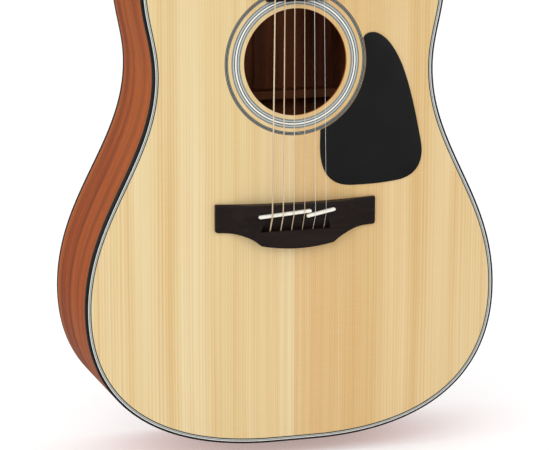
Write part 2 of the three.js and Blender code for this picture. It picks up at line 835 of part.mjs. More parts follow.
/** A hexagonal nut, turned with a key through the soundhole. */
function trussRodNut() {
  const low = rodLow();
  const hexagon = rod(4, low - ROD.stub, low - FIT_GAP, 6);
  const bore = rod(ROD.stubRadius + FIT_GAP, low - ROD.stub - 1, low + 1, 12);
  return cut(hexagon, bore).translate(0, FRONT_Y + (ROD.top + ROD.bottom) / 2, 0);
}

/** The fingerboard with its frets: each fret is a low ridge that follows the board's camber. */
function fingerboard() {
  const facets = 4;
  const low = NUT_Z - BOARD_LENGTH;
  const stops = [[low, 0]];
  for (let fret = FRET_COUNT; fret > 0; fret -= 1) {
    const z = NUT_Z - fretDistance(fret);
    stops.push([z - FRET_WIDTH / 2, 0]);
    stops.push([z, FRET_HEIGHT]);
    stops.push([z + FRET_WIDTH / 2, 0]);
  }
  stops.push([NUT_Z - GLUE_GAP, 0]);
  const rings = stops.map(([z, lift]) => {
    const half = boardHalf(z);
    const face = Array.from({ length: facets + 1 }, (_, k) => {
      const x = half * ((2 * k) / facets - 1);
      const height = BOARD_THICKNESS - x ** 2 / (2 * BOARD_RADIUS) + lift;
      return v3(x, FRONT_Y - height, z);
    });
    return [v3(half, FRONT_Y, z), v3(-half, FRONT_Y, z), ...face];
  });
  return skin(rings, fan(facets + 3));
}

/** The nut, with a slot for each string. */
function nut() {
  const half = NUT_WIDTH / 2;
  const shape = new THREE.Shape();
  shape.moveTo(-half, FRONT_Y);
  for (const string of [...STRINGS].reverse()) {
    const x = (3.5 - string) * NUT_STRING_SPACING;
    const room = STRING_RADII[string - 1] + 0.2;
    shape.lineTo(x - room, FRONT_Y - NUT_HEIGHT);
    shape.lineTo(x - room, FRONT_Y - NUT_SLOT_HEIGHT);
    shape.lineTo(x + room, FRONT_Y - NUT_SLOT_HEIGHT);
    shape.lineTo(x + room, FRONT_Y - NUT_HEIGHT);
  }
  shape.lineTo(half, FRONT_Y);
  const options = { depth: NUT_THICKNESS, bevelEnabled: false };
  return new THREE.ExtrudeGeometry(shape, options).translate(0, 0, NUT_Z);
}

/** The heel cap covers the flat foot of the heel, level with the back. */
function heelCap() {
  const steps = 8;
  const edge = Array.from({ length: steps + 1 }, (_, i) => {
    const z = BODY_END_Z + (HEEL_REACH * 0.7 * i) / steps;
    const cosine = Math.sqrt(Math.max(0, 1 - (HEEL_FACE / shaftDepth(z)) ** 2));
    return v2(Math.max(2, boardHalf(z) * cosine), z);
  });
  const shape = new THREE.Shape([...edge, ...edge.map((p) => v2(-p.x, p.y)).reverse()]);
  return plate(shape, FRONT_Y + HEEL_FACE, FRONT_Y + NECK_END_DEPTH);
}

// ---------------------------------------------------------------- tuning machines

/** A rod along x between two ends. */
function cross(radius, near, far, sides) {
  const cylinder = new THREE.CylinderGeometry(radius, radius, far - near, sides);
  return cylinder.rotateZ(Math.PI / 2).translate((near + far) / 2, 0, 0);
}

/** The case: a closed box on the headstock's back, with a sleeve that passes through the wood. */
function tunerCase() {
  const { inner, outer, low, high, corner, height, wall } = CASE;
  const shape = new THREE.Shape();
  shape.moveTo(inner + corner, low);
  shape.lineTo(outer - corner, low);
  shape.quadraticCurveTo(outer, low, outer, low + corner);
  shape.lineTo(outer, high - corner);
  shape.quadraticCurveTo(outer, high, outer - corner, high);
  shape.lineTo(inner + corner, high);
  shape.quadraticCurveTo(inner, high, inner, high - corner);
  shape.lineTo(inner, low + corner);
  shape.quadraticCurveTo(inner, low, inner + corner, low);
  const shell = plate(shape, 0, height, 3);
  const front = HEAD_BACK + 0.2;
  const sleeve = new THREE.CylinderGeometry(SLEEVE.outer, SLEEVE.outer, front + 1, 12);
  const bore = new THREE.CylinderGeometry(SLEEVE.bore, SLEEVE.bore, front + 10, 12);
  const hollow = block(inner + wall, outer - wall, wall, height - wall, low + wall, high - wall);
  const shaftHole = cross(WORM.root + 0.2, 0, outer + 2, 12).translate(0, WHEEL.level, -AXIS_SPREAD);
  return cut(
    join(shell, sleeve.translate(0, (1 - front) / 2, 0)),
    hollow,
    bore.translate(0, (WHEEL.level - front) / 2, 0),
    shaftHole,
  );
}

/** The worm's thread: a tapered ridge wound on the shaft, level with the wheel's gap at its middle. */
function wormThread() {
  const sides = 8;
  const steps = Math.round(WORM.turns * sides);
  const rings = Array.from({ length: steps + 1 }, (_, i) => {
    const turn = (i - steps / 2) * ((2 * Math.PI) / sides);
    const middle = (WORM.lead * turn) / (2 * Math.PI);
    const around = (x, r) => v3(x, -r * Math.sin(turn), r * Math.cos(turn));
    return [
      around(middle - WORM.flank - 0.15, WORM.root - 0.3),
      around(middle + WORM.flank + 0.15, WORM.root - 0.3),
      around(middle + WORM.flank / 2, WORM.tip),
      around(middle - WORM.flank / 2, WORM.tip),
    ];
  });
  return skin(rings, fan(4));
}

/** Button, shaft and worm turn as one. The shaft runs along x through the case. */
function tunerButton() {
  const shape = new THREE.Shape();
  const middle = (BUTTON.near + BUTTON.far) / 2;
  shape.absellipse(middle, 0, (BUTTON.far - BUTTON.near) / 2, BUTTON.half, 0, 2 * Math.PI);
  const grip = plate(shape, -BUTTON.thickness / 2, BUTTON.thickness / 2, 14);
  const stem = cross(WORM.root, CASE.inner + CASE.wall + 0.5, BUTTON.near + 3, 8);
  return join(stem, wormThread(), grip).translate(0, WHEEL.level, -AXIS_SPREAD);
}

/** The worm wheel, with a tooth gap facing the worm. */
function wormWheel() {
  const pitch = (2 * Math.PI) / WHEEL_TEETH;
  const tooth = [
    [0.21, WHEEL.root],
    [0.39, WHEEL.tip],
    [0.61, WHEEL.tip],
    [0.79, WHEEL.root],
  ];
  const corners = Array.from({ length: WHEEL_TEETH }, (_, i) =>
    tooth.map(([share, radius]) => {
      const turn = (i + share) * pitch - Math.PI / 2;
      return v2(radius * Math.cos(turn), radius * Math.sin(turn));
    }),
  );
  const half = WHEEL.thickness / 2;
  return plate(new THREE.Shape(corners.flat()), WHEEL.level - half, WHEEL.level + half);
}

/** The string post with its wheel, along y. The post is waisted where the string winds. */
function tunerPost() {
  const foot = WHEEL.level + WHEEL.thickness / 2 + 1;
  const face = -HEAD_BACK - 0.2;
  const profile = [
    [0, -foot],
    [POST.radius, -foot],
    [POST.radius, -face + 2],
    [POST.waist, -face + 5],
    [POST.waist, -face + 9],
    [POST.radius, -face + POST.rise - 1],
    [POST.radius - 0.6, -face + POST.rise],
    [0, -face + POST.rise],
  ];
  const post = new THREE.LatheGeometry(profile.map(([r, y]) => v2(r, y)), 10).rotateX(Math.PI);
  return join(post, wormWheel());
}

/** Adds the three pieces of one tuning machine to the headstock. */
function addTuner(string) {
  const { side, x, z } = postPlace(string);
  const parts = [
    ["tuner_case", tunerCase()],
    ["tuner_button", tunerButton()],
    ["tuner_post", tunerPost()],
  ];
  for (const [name, geometry] of parts) {
    const mesh = piece(`${name}_${string}`, side > 0 ? geometry : mirrored(geometry), "chrome");
    mesh.position.set(x, HEAD_BACK + 0.2, z);
    head.add(mesh);
  }
}

// ---------------------------------------------------------------- bridge, saddles and strings

function bridgeShape() {
  const { half, wing, belly, corner, hollow } = BRIDGE;
  const { half: turn, height: rise } = BELLY_CORNER;
  const shape = new THREE.Shape();
  shape.moveTo(-half, 0);
  shape.lineTo(-half, wing + corner);
  shape.quadraticCurveTo(-half, wing, -half + corner, wing);
  shape.bezierCurveTo(-58, wing - 0.8, -46.3, wing - 3.5, -turn, rise);
  shape.quadraticCurveTo(0, 2 * belly - rise, turn, rise);
  shape.bezierCurveTo(46.3, wing - 3.5, 58, wing - 0.8, half - corner, wing);
  shape.quadraticCurveTo(half, wing, half, wing + corner);
  shape.lineTo(half, 0);
  shape.quadraticCurveTo(0, -2 * hollow, -half, 0);
  return shape;
}

/** The bridge's height along its length: full in the middle, swept down to thin wing tips. */
function bridgeCrown() {
  const { half, height, tip } = BRIDGE;
  const shape = new THREE.Shape();
  const level = (h) => FRONT_Y - h;
  shape.moveTo(-half - 1, level(-1));
  shape.lineTo(-half - 1, level(tip));
  shape.bezierCurveTo(-66, level(tip), -60, level(tip + 1), -54, level(height - 2));
  shape.quadraticCurveTo(-50, level(height), -44, level(height));
  shape.lineTo(44, level(height));
  shape.quadraticCurveTo(50, level(height), 54, level(height - 2));
  shape.bezierCurveTo(60, level(tip + 1), 66, level(tip), half + 1, level(tip));
  shape.lineTo(half + 1, level(-1));
  const options = { depth: 60, bevelEnabled: false, curveSegments: 5 };
  return new THREE.ExtrudeGeometry(shape, options).translate(0, 0, BRIDGE_Z - 55);
}

/** A bar with round ends, seen from the front, between two points below the bridge's top edge. */
function saddleShape([from, to], width) {
  const radius = width / 2;
  const turn = Math.atan2(to.y - from.y, to.x - from.x);
  const shape = new THREE.Shape();
  shape.absarc(to.x, to.y + BRIDGE_Z, radius, turn - Math.PI / 2, turn + Math.PI / 2);
  shape.absarc(from.x, from.y + BRIDGE_Z, radius, turn + Math.PI / 2, turn + Math.PI * 1.5);
  return shape;
}

function saddle(ends) {
  return plate(saddleShape(ends, SADDLE_WIDTH), FRONT_Y - SADDLE_HEIGHT, FRONT_Y - SADDLE_FLOOR, 5);
}

function saddleSlot(ends) {
  const slot = saddleShape(ends, SADDLE_WIDTH + 2 * FIT_GAP);
  return plate(slot, FRONT_Y - BRIDGE.height - 1, FRONT_Y - SADDLE_FLOOR + FIT_GAP, 5);
}

/** A ramp behind the saddles, deepest at the wall that the strings come out of. */
function bridgeRamp() {
  const { top, bottom, topHalf, bottomHalf, depth } = RECESS;
  const mouth = new THREE.Shape([
    v2(-bottomHalf, BRIDGE_Z + bottom),
    v2(bottomHalf, BRIDGE_Z + bottom),
    v2(topHalf, BRIDGE_Z + top),
    v2(-topHalf, BRIDGE_Z + top),
  ]);
  const face = FRONT_Y - BRIDGE.height;
  const wedge = [-bottomHalf - 1, bottomHalf + 1].map((x) => [
    v3(x, face, BRIDGE_Z + top),
    v3(x, face + depth, BRIDGE_Z + bottom),
    v3(x, face - 2, BRIDGE_Z + bottom),
    v3(x, face - 2, BRIDGE_Z + top),
  ]);
  return common(plate(mouth, face - 1, FRONT_Y), skin(wedge, fan(4)));
}

function saddleX(string) {
  return (3.5 - string) * SADDLE_STRING_SPACING;
}

/** A string's hole from the ramp's wall to the tail edge, widened there for its ball end. */
function stringHole(string) {
  const x = saddleX(string);
  const wall = BRIDGE_Z + RECESS.bottom;
  const edge = BRIDGE_Z + BRIDGE.belly;
  const hole = join(rod(1.1, edge - 1, wall + 1, 8), rod(2.4, edge - 1, edge + 9, 8));
  return hole.translate(x, FRONT_Y - HOLE_HEIGHT, 0);
}

function bridge() {
  const blank = plate(bridgeShape(), FRONT_Y - BRIDGE.height, FRONT_Y).translate(0, 0, BRIDGE_Z);
  return cut(
    common(blank, bridgeCrown()),
    saddleSlot(SADDLE_LONG),
    saddleSlot(SADDLE_SHORT),
    bridgeRamp(),
    ...STRINGS.map(stringHole),
  );
}

/** A path through given points, one step to a point, with the corners kept. */
class WirePath extends THREE.Curve {
  constructor(points) {
    super();
    this.points = points;
  }
  getPoint(t) {
    const place = t * (this.points.length - 1);
    const before = Math.min(Math.floor(place), this.points.length - 2);
    return this.points[before].clone().lerp(this.points[before + 1], place - before);
  }
  getPointAt(u) {
    return this.getPoint(u);
  }
  getTangentAt(u) {
    const place = Math.round(u * (this.points.length - 1));
    const here = this.points[place];
    const before = this.points[Math.max(place - 1, 0)];
    const after = this.points[Math.min(place + 1, this.points.length - 1)];
    const arriving = here.clone().sub(before).normalize();
    return arriving.add(after.clone().sub(here).normalize()).normalize();
  }
}

/** Height of a saddle's centre line at a string. */
function saddleCrossing(string) {
  const [from, to] = string <= 2 ? SADDLE_SHORT : SADDLE_LONG;
  const t = (saddleX(string) - from.x) / (to.x - from.x);
  return BRIDGE_Z + THREE.MathUtils.lerp(from.y, to.y, t);
}

/** A string: from its hole in the bridge over the saddle and the nut to the side of its post. */
function string(number) {
  const radius = STRING_RADII[number - 1];
  const x = saddleX(number);
  const nutX = (3.5 - number) * NUT_STRING_SPACING;
  const nutY = FRONT_Y - NUT_SLOT_HEIGHT - radius - GLUE_GAP;
  const post = postPlace(number);
  const postX = post.x - post.side * (POST.radius + radius + 0.1);
  const wall = BRIDGE_Z + RECESS.bottom;
  const crownY = FRONT_Y - SADDLE_HEIGHT - radius - 2 * GLUE_GAP;
  const path = new WirePath([
    v3(x, FRONT_Y - HOLE_HEIGHT, wall - 8),
    v3(x, FRONT_Y - HOLE_HEIGHT, wall + 0.5),
    v3(x, crownY, saddleCrossing(number) - SADDLE_WIDTH / 2 - FIT_GAP),
    v3(x, crownY, saddleCrossing(number)),
    v3(nutX, nutY, NUT_Z - 0.5),
    v3(nutX, nutY, NUT_Z + NUT_THICKNESS),
    head.localToWorld(v3(postX, -7.2, post.z)),
  ]);
  const section = new THREE.Shape();
  section.absarc(0, 0, radius, 0, 2 * Math.PI);
  const steps = path.points.length - 1;
  return new THREE.ExtrudeGeometry(section, { steps, extrudePath: path, curveSegments: 6 });
}

/** The pickguard wraps the outer ring of the rosette. */
function pickguard() {
  const radius = OUTER_RING.outer + 0.4;
  const start = Math.asin(20 / radius);
  const end = -Math.acos(24.2 / radius);
  const at = (x, z) => [x, z - 361];
  const shape = new THREE.Shape();
  shape.absarc(0, 0, radius, start, end, true);
  shape.lineTo(...at(23.9, 284));
  shape.bezierCurveTo(...at(23.5, 262), ...at(30, 244.2), ...at(54, 243.4));
  shape.bezierCurveTo(...at(76, 243), ...at(92, 244.3), ...at(104, 246.4));
  shape.bezierCurveTo(...at(119.5, 250), ...at(126.8, 262), ...at(124.3, 279));
  shape.bezierCurveTo(...at(119, 305), ...at(114, 330), ...at(105, 353));
  shape.bezierCurveTo(...at(97, 372), ...at(87, 384), ...at(77, 386));
  shape.quadraticCurveTo(...at(68, 387), radius * Math.cos(start), radius * Math.sin(start));
  return plate(shape, FRONT_Y - PICKGUARD_THICKNESS, FRONT_Y, 8).translate(0, 0, SOUNDHOLE_Z);
}

// ---------------------------------------------------------------- assembly

const guitar = new THREE.Group();

guitar.add(
  piece("soundboard", soundboard(), "spruce"),
  piece("rosette_inner_ring", rosetteRing(INNER_RING), "purfling"),
  piece("rosette_outer_ring", rosetteRing(OUTER_RING), "black"),
  piece("back", back(), "mahogany"),
  piece("rim_treble", rim(TREBLE.slice(0, -1)), "mahogany"),
  piece("rim_bass", rim(BASS.slice(0, -1)), "mahogany"),
  piece("top_binding", topBinding(), "black"),
  piece("top_purfling", topPurfling(), "purfling"),
  piece("back_binding", backBinding(), "black"),
  piece("top_lining", lining(front, TOP_THICKNESS), "mahogany"),
  piece("back_lining", lining(rear, BACK_THICKNESS), "mahogany"),
);

guitar.add(
  piece("neck_block", neckBlock(), "mahogany"),
  piece("tail_block", tailBlock(), "mahogany"),
  piece("strap_button", strapButton(), "chrome"),
  piece("x_brace_treble", xBrace(1), "braceWood"),
  piece("x_brace_bass", xBrace(-1), "braceWood"),
  piece("transverse_brace", transverseBrace(), "braceWood"),
  piece("tone_bar_upper", toneBar(TONE_BARS.upper), "braceWood"),
  piece("tone_bar_lower", toneBar(TONE_BARS.lower), "braceWood"),
  piece("bridge_plate", bridgePlate(), "rosewood"),
  piece("back_strip", backStrip(), "braceWood"),
);
BACK_BRACES.forEach((brace, i) => {
  guitar.add(piece(`back_brace_${i + 1}`, backBrace(brace), "braceWood"));
});

guitar.add(
  piece("pickguard", pickguard(), "pickguard"),
  piece("bridge", bridge(), "rosewood"),
  piece("saddle_long", saddle(SADDLE_LONG), "bone"),
  piece("saddle_short", saddle(SADDLE_SHORT), "bone"),
);

guitar.add(
  piece("neck", neck(), "neckWood"),
  piece("heel_cap", heelCap(), "black"),
  piece("fingerboard", fingerboard(), "rosewood"),
  piece("nut", nut(), "bone"),
  piece("truss_rod", trussRod(), "steel"),
  piece("truss_rod_nut", trussRodNut(), "steel"),
);

head.add(piece("headplate", headplate(), "rosewood"));
STRINGS.forEach(addTuner);
guitar.add(head);

STRINGS.forEach((number) => {
  guitar.add(piece(`string_${number}`, string(number), number <= 2 ? "steel" : "bronze"));
});

export default guitar;
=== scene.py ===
# Looks for a steel-string acoustic guitar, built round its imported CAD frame.
# Blender objects are in metres. Sizes in this script are in millimetres, and piece() converts them.
# A material's pattern, the lamps and the camera are in metres.
import math

import bmesh
import bpy
from mathutils import Matrix, Vector
from mathutils.geometry import delaunay_2d_cdt


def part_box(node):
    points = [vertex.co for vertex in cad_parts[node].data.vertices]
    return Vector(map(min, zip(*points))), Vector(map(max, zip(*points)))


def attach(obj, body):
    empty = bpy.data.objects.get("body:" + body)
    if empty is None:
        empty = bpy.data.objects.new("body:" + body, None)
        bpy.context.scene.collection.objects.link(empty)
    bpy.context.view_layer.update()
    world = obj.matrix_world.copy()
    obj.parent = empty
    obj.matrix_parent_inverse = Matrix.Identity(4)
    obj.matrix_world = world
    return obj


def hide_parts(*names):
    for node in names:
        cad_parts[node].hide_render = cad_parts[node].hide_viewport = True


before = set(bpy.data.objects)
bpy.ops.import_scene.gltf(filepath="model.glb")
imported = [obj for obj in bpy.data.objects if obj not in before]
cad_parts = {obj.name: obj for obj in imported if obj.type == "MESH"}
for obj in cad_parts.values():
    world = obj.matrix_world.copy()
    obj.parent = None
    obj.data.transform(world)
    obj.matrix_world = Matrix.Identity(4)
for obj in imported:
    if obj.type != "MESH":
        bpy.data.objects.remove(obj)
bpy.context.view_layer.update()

MM = 0.001
ROOT = "guitar"


def low(node):
    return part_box(node)[0] / MM


def high(node):
    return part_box(node)[1] / MM


# Levels of the frame.
FRONT_Y = low("soundboard").y
TAIL_Z = low("rim_treble").z
BODY_END_Z = high("rim_treble").z
BODY_LENGTH = BODY_END_Z - TAIL_Z
NUT_Z = low("nut").z
HEAD_Z = high("nut").z
BRIDGE_Z = high("bridge").z
SOUNDHOLE_Z = (low("rosette_outer_ring").z + high("rosette_outer_ring").z) / 2
BOARD_LOW_Z = low("fingerboard").z

# Body. Outline heights are counted from the tail.
LOWER_BOUT = {"half": high("rim_treble").x, "height": 137.5, "below": 89.5, "above": 89.4}
WAIST = {"half": 135.1, "height": 352.3, "below": 78.6, "above": 30}
UPPER_BOUT = {"half": 146, "height": 434, "below": 32, "above": 48}
TAIL_FLAT = {"half": 20, "reach": 114}
NECK_FLAT = {"half": 40, "reach": 66}
RIM_END = 19
TAIL_DEPTH = 128
NECK_END_DEPTH = 107.5
BACK_ARCH = 4
TOP_THICKNESS = 2.8
BACK_THICKNESS = 3
RIM_THICKNESS = 2.6
BINDING_WIDTH = 1.6
BINDING_HEIGHT = 6
PURFLING_EDGE = 5
INLAY_DEPTH = 1.2
SOUNDHOLE_RADIUS = 49.5
INNER_RING = (53.4, 61.6)
OUTER_RING = (64.9, 68.1)

# Scale, neck and headstock.
SCALE_LENGTH = 645
FRET_COUNT = 20
NUT_WIDTH = 43
NUT_HEIGHT = 8.9
NUT_SLOT_HEIGHT = 7.9
NUT_STRING_SPACING = 7.1
NECK_MARGIN = 0.2
BOARD_TAPER = 0.0335
BOARD_THICKNESS = 6.5
BOARD_RADIUS = 400
SHAFT_DEPTH = {"nut": 15, "body": 17.5}
HEEL_DEPTH = 125
HEEL_REACH = 38.7
HEEL_FACE = 104.5
HEEL_TOP = 70
TENON = {"half": 18, "near": 8, "far": 92, "length": 16}
ROD_SLOT = {"half": 3.3, "depth": 11.5}
HEAD_BEND = 24
HEAD_TILT = math.radians(15)
HEAD_LENGTH = 178
HEADPLATE_THICKNESS = 1.8
HEAD_FACE = 2
HEAD_BACK = 14.3
HEAD_SHOULDER = {"half": 31.5, "height": 24}
HEAD_TOP = {"half": 37.5, "height": 171}
HEAD_BORE = 5
POST_HEIGHTS = [42, 83, 124]
POST_INSET = 11
HEAD = Matrix.Translation((0, FRONT_Y, HEAD_Z)) @ Matrix.Rotation(-HEAD_TILT, 4, "X")

# Tuning machine, from the headstock's back where its post stands.
CASE = {"inner": -8.6, "outer": 9.6, "low": -13.4, "high": 8.2, "height": 9.4}
CASE_SEAT = HEAD_BACK + 0.2
SLEEVE_RADIUS = 4.7
SLEEVE_BORE = 3.2
POST = {"radius": 3, "waist": 2.5, "rise": 13}
WORM_AXIS = {"level": 4.7, "below": 7.95}
BUTTON = {"near": 17.5, "far": 30.5, "half": 9, "thickness": 6.2}
SHAFT_RADIUS = 1.9

# Bridge, saddles and strings. Heights are from the bridge's top edge.
BRIDGE = {"half": 78, "wing": -26.6, "belly": -44.1, "corner": 3, "hollow": 2.1}
BRIDGE.update({"height": 9.5, "tip": 3.2})
BRIDGE_SWEEP = {"start": 44, "length": 22}
BELLY_CORNER = {"half": 35.3, "height": -40.2}
SADDLE_WIDTH = 3.2
SADDLE_HEIGHT = 12.3
SADDLE_FLOOR = 3.5
SADDLE_LONG = [(-37, -12.5), (11, -8.9)]
SADDLE_SHORT = [(9.4, -13.5), (34.4, -8.7)]
RAMP = {"top": -15.5, "bottom": -27, "bass": (-31.5, -36.5), "treble": (29.5, 31.5), "depth": 6.5}
HOLE_HEIGHT = 5.5
SADDLE_STRING_SPACING = 10.5
STRING_RADII = [0.15, 0.2, 0.3, 0.4, 0.53, 0.67]
STRINGS = [1, 2, 3, 4, 5, 6]
PICKGUARD_THICKNESS = 1
FIT = 0.3

# Camera, in degrees and metres: where it stands, where it looks, and its lens.
CAMERA = {"place": (-0.695, -2.1868, 0.6778), "azimuth": 17.648, "down": 11.5037, "roll": 0.1199}
LENS = 160.29


# ---------------------------------------------------------------- materials


def rgb(red, green, blue):
    """Linear colour from 8-bit screen values."""
    def linear(value):
        share = value / 255
        return share / 12.92 if share <= 0.04045 else ((share + 0.055) / 1.055) ** 2.4

    return (linear(red), linear(green), linear(blue), 1)


class Nodes:
    """A node tree under construction. All but put() and node() give back the new node's output."""

    def __init__(self, tree):
        self.tree = tree
        self.place = None

    def put(self, socket, value):
        if isinstance(value, bpy.types.NodeSocket):
            self.tree.links.new(value, socket)
        else:
            socket.default_value = value

    def node(self, kind, inputs, **settings):
        made = self.tree.nodes.new("ShaderNode" + kind)
        for name, value in settings.items():
            setattr(made, name, value)
        for name, value in inputs.items():
            self.put(made.inputs[name], value)
        return made

    def stored(self, name):
        return self.node("Attribute", {}, attribute_name=name).outputs["Vector"]

    def scaled(self, scale, place=None):
        inputs = {"Vector": place or self.place, "Scale": scale}
        return self.node("Mapping", inputs).outputs["Vector"]

    def axes(self, place=None):
        return self.node("SeparateXYZ", {"Vector": place or self.place}).outputs

    def noise(self, place, scale=1.0, detail=2.0, roughness=0.5, distortion=0.0):
        inputs = {"Vector": place, "Scale": scale, "Detail": detail, "Roughness": roughness}
        inputs["Distortion"] = distortion
        return self.node("TexNoise", inputs).outputs["Fac"]

    def math(self, operation, a, b=0.0):
        return self.node("Math", {0: a, 1: b}, operation=operation).outputs[0]

    def span(self, value, start, end, to_start=0.0, to_end=1.0):
        """The value's share of the way from start to end, eased and kept within both ends."""
        inputs = {"Value": value, "From Min": start, "From Max": end}
        inputs.update({"To Min": to_start, "To Max": to_end})
        return self.node("MapRange", inputs, interpolation_type="SMOOTHSTEP").outputs["Result"]

    def mix(self, factor, a, b, mode="MIX"):
        inputs = {0: factor, 6: a, 7: b}
        return self.node("Mix", inputs, data_type="RGBA", blend_type=mode).outputs[2]


class Finish(Nodes):
    """A material, drawn over the piece's own axes."""

    def __init__(self, name, **inputs):
        self.material = bpy.data.materials.new(name)
        self.material.use_nodes = True
        super().__init__(self.material.node_tree)
        self.shader = self.tree.nodes["Principled BSDF"]
        self.place = self.node("TexCoord", {}).outputs["Object"]
        self.set(**inputs)

    def set(self, **inputs):
        for name, value in inputs.items():
            self.put(self.shader.inputs[name.replace("_", " ")], value)

    def worn(self, colour, lighter, amount=0.5):
        """The colour, rubbed lighter along the piece's outer edges."""
        edge = self.node("NewGeometry", {}).outputs["Pointiness"]
        rubbed = self.math("MULTIPLY", self.span(edge, 0.52, 0.6), amount)
        return self.mix(rubbed, colour, lighter)

    def bump(self, height, distance, strength=0.5):
        inputs = {"Height": height, "Distance": distance, "Strength": strength}
        self.set(Normal=self.node("Bump", inputs).outputs["Normal"])

    def speckle(self, fine, amount=0.08, base=0.4):
        """Roughness that varies a little over the surface, as handling leaves it."""
        spots = self.noise(self.scaled((1, 1, 1)), fine, 3)
        self.set(Roughness=self.span(spots, 0.25, 0.75, base - amount, base + amount))
        return spots


def spruce(name):
    """Bookmatched spruce: both halves mirror each other, and catch the light differently."""
    finish = Finish(name, Coat_Weight=0.15, Coat_Roughness=0.15, Specular_IOR_Level=0.3)
    x, y, z = finish.axes()
    side = finish.math("ABSOLUTE", x)
    drift = finish.noise(finish.scaled((6, 1, 2.2)), 1, 2)
    across = finish.math("ADD", side, finish.math("MULTIPLY", drift, 0.006))
    flat = finish.node("CombineXYZ", {"X": across, "Y": 0.0, "Z": z}).outputs["Vector"]
    wander = finish.noise(finish.scaled((45, 1, 0.6), flat), 1, 1)
    count = finish.math("MULTIPLY", finish.math("POWER", across, 0.75), 260)
    count = finish.math("ADD", count, finish.math("MULTIPLY", wander, 2.5))
    years = finish.span(finish.math("FRACT", count), 0.3, 0.92)
    lines = finish.noise(finish.scaled((300, 1, 1.2), flat), 1, 1, 0.5)
    bands = finish.noise(finish.scaled((70, 1, 0.8), flat), 1, 2, 0.6)
    streaks = finish.noise(finish.scaled((24, 1, 0.9), flat), 1, 2, 0.6)
    clouds = finish.noise(finish.scaled((9, 1, 3)), 1, 2)
    silk = finish.noise(finish.scaled((60, 1, 900)), 1, 1)
    pale, straw, honey = rgb(230, 211, 167), rgb(221, 197, 145), rgb(205, 156, 82)
    colour = finish.mix(finish.span(streaks, 0.35, 0.65), pale, straw)
    colour = finish.mix(finish.span(bands, 0.46, 0.72, 0, 0.3), colour, honey)
    colour = finish.mix(finish.span(lines, 0.42, 0.68, 0, 0.2), colour, honey)
    strong = finish.span(bands, 0.35, 0.6, 0.1, 0.4)
    colour = finish.mix(finish.math("MULTIPLY", years, strong), colour, honey)
    colour = finish.mix(finish.span(clouds, 0.35, 0.75, 0, 0.25), colour, pale)
    warm = finish.mix(finish.span(x, 0.05, 0.15, 0.85, 0.35), colour, rgb(246, 230, 212), "MULTIPLY")
    colour = finish.mix(finish.span(x, -0.0001, 0.0001), colour, warm)
    seam = finish.span(side, 0.0001, 0.0004, 0.35, 0)
    colour = finish.mix(seam, colour, rgb(150, 110, 66))
    colour = finish.mix(finish.span(silk, 0.4, 0.8, 0, 0.1), colour, pale)
    cut_edge = finish.span(finish.math("SUBTRACT", y, FRONT_Y * MM), 0.0002, 0.0007)
    finish.set(Base_Color=finish.mix(cut_edge, colour, rgb(196, 118, 56)))
    finish.set(Roughness=finish.span(lines, 0.3, 0.7, 0.34, 0.44))
    finish.bump(finish.math("ADD", years, silk), 0.00003, 0.2)
    return finish.material


def wood(name, colours, along=(1, 1, 0.02), stored=None, pores=1.0, gloss=0.4, coat=0.2,
         matched=False):
    """Open-pored wood. along squeezes the pattern, so that it runs out along the grain.
    matched mirrors it about x = 0, as in two halves sawn from one board."""
    dark, base, light = colours
    finish = Finish(name, Coat_Weight=coat, Coat_Roughness=0.2, Specular_IOR_Level=0.25)
    place = finish.stored(stored) if stored else finish.place
    x, y, z = finish.axes(place)
    side = finish.math("ABSOLUTE", x)
    if matched:
        place = finish.node("CombineXYZ", {"X": side, "Y": y, "Z": z}).outputs["Vector"]
    grain = finish.scaled(along, place)
    ribbon = finish.noise(grain, 55, 3, 0.5, 0.2)
    fibre = finish.noise(grain, 420, 3, 0.65)
    cloud = finish.noise(finish.scaled([share ** 0.5 for share in along], place), 16, 2)
    pore = finish.noise(finish.scaled([share * 0.6 + 0.06 for share in along], place), 2700, 2)
    colour = finish.mix(finish.span(ribbon, 0.28, 0.6), rgb(*dark), rgb(*base))
    colour = finish.mix(finish.span(fibre, 0.5, 0.85, 0, 0.7), colour, rgb(*light))
    colour = finish.mix(finish.span(cloud, 0.35, 0.75, 0, 0.4), colour, rgb(*light))
    hollow = finish.span(pore, 0.57, 0.7, 0, 0.5 * pores)
    colour = finish.mix(hollow, colour, rgb(*[value * 0.55 for value in dark]))
    if matched:
        colour = finish.mix(finish.span(side, 0.0001, 0.0005, 0.7, 0), colour, rgb(*dark))
    finish.set(Base_Color=finish.worn(colour, rgb(*light), 0.35))
    finish.set(Roughness=finish.span(fibre, 0.3, 0.7, gloss - 0.06, gloss + 0.1))
    finish.bump(finish.math("SUBTRACT", fibre, hollow), 0.00004, 0.35 * pores)
    return finish.material


def plastic(name, colour, lighter, gloss=0.35, grain=900):
    finish = Finish(name, Specular_IOR_Level=0.25)
    spots = finish.speckle(grain, 0.06, gloss)
    haze = finish.noise(finish.place, 30, 3)
    tint = finish.mix(finish.span(haze, 0.3, 0.8, 0, 0.35), rgb(*colour), rgb(*lighter))
    finish.set(Base_Color=finish.worn(tint, rgb(*lighter), 0.6))
    finish.bump(spots, 0.00002, 0.2)
    return finish.material


def bone(name):
    finish = Finish(name, Subsurface_Weight=0.1, Subsurface_Scale=0.002, Specular_IOR_Level=0.5)
    vein = finish.noise(finish.scaled((1, 1, 0.3)), 500, 4, 0.6)
    cloud = finish.noise(finish.place, 120, 2)
    tint = finish.mix(finish.span(vein, 0.4, 0.75), rgb(243, 241, 232), rgb(226, 219, 198))
    tint = finish.mix(finish.span(cloud, 0.4, 0.8, 0, 0.5), tint, rgb(236, 229, 210))
    finish.set(Base_Color=finish.worn(tint, rgb(250, 249, 244)))
    finish.set(Roughness=finish.span(vein, 0.3, 0.8, 0.28, 0.42))
    finish.bump(vein, 0.00002, 0.25)
    return finish.material


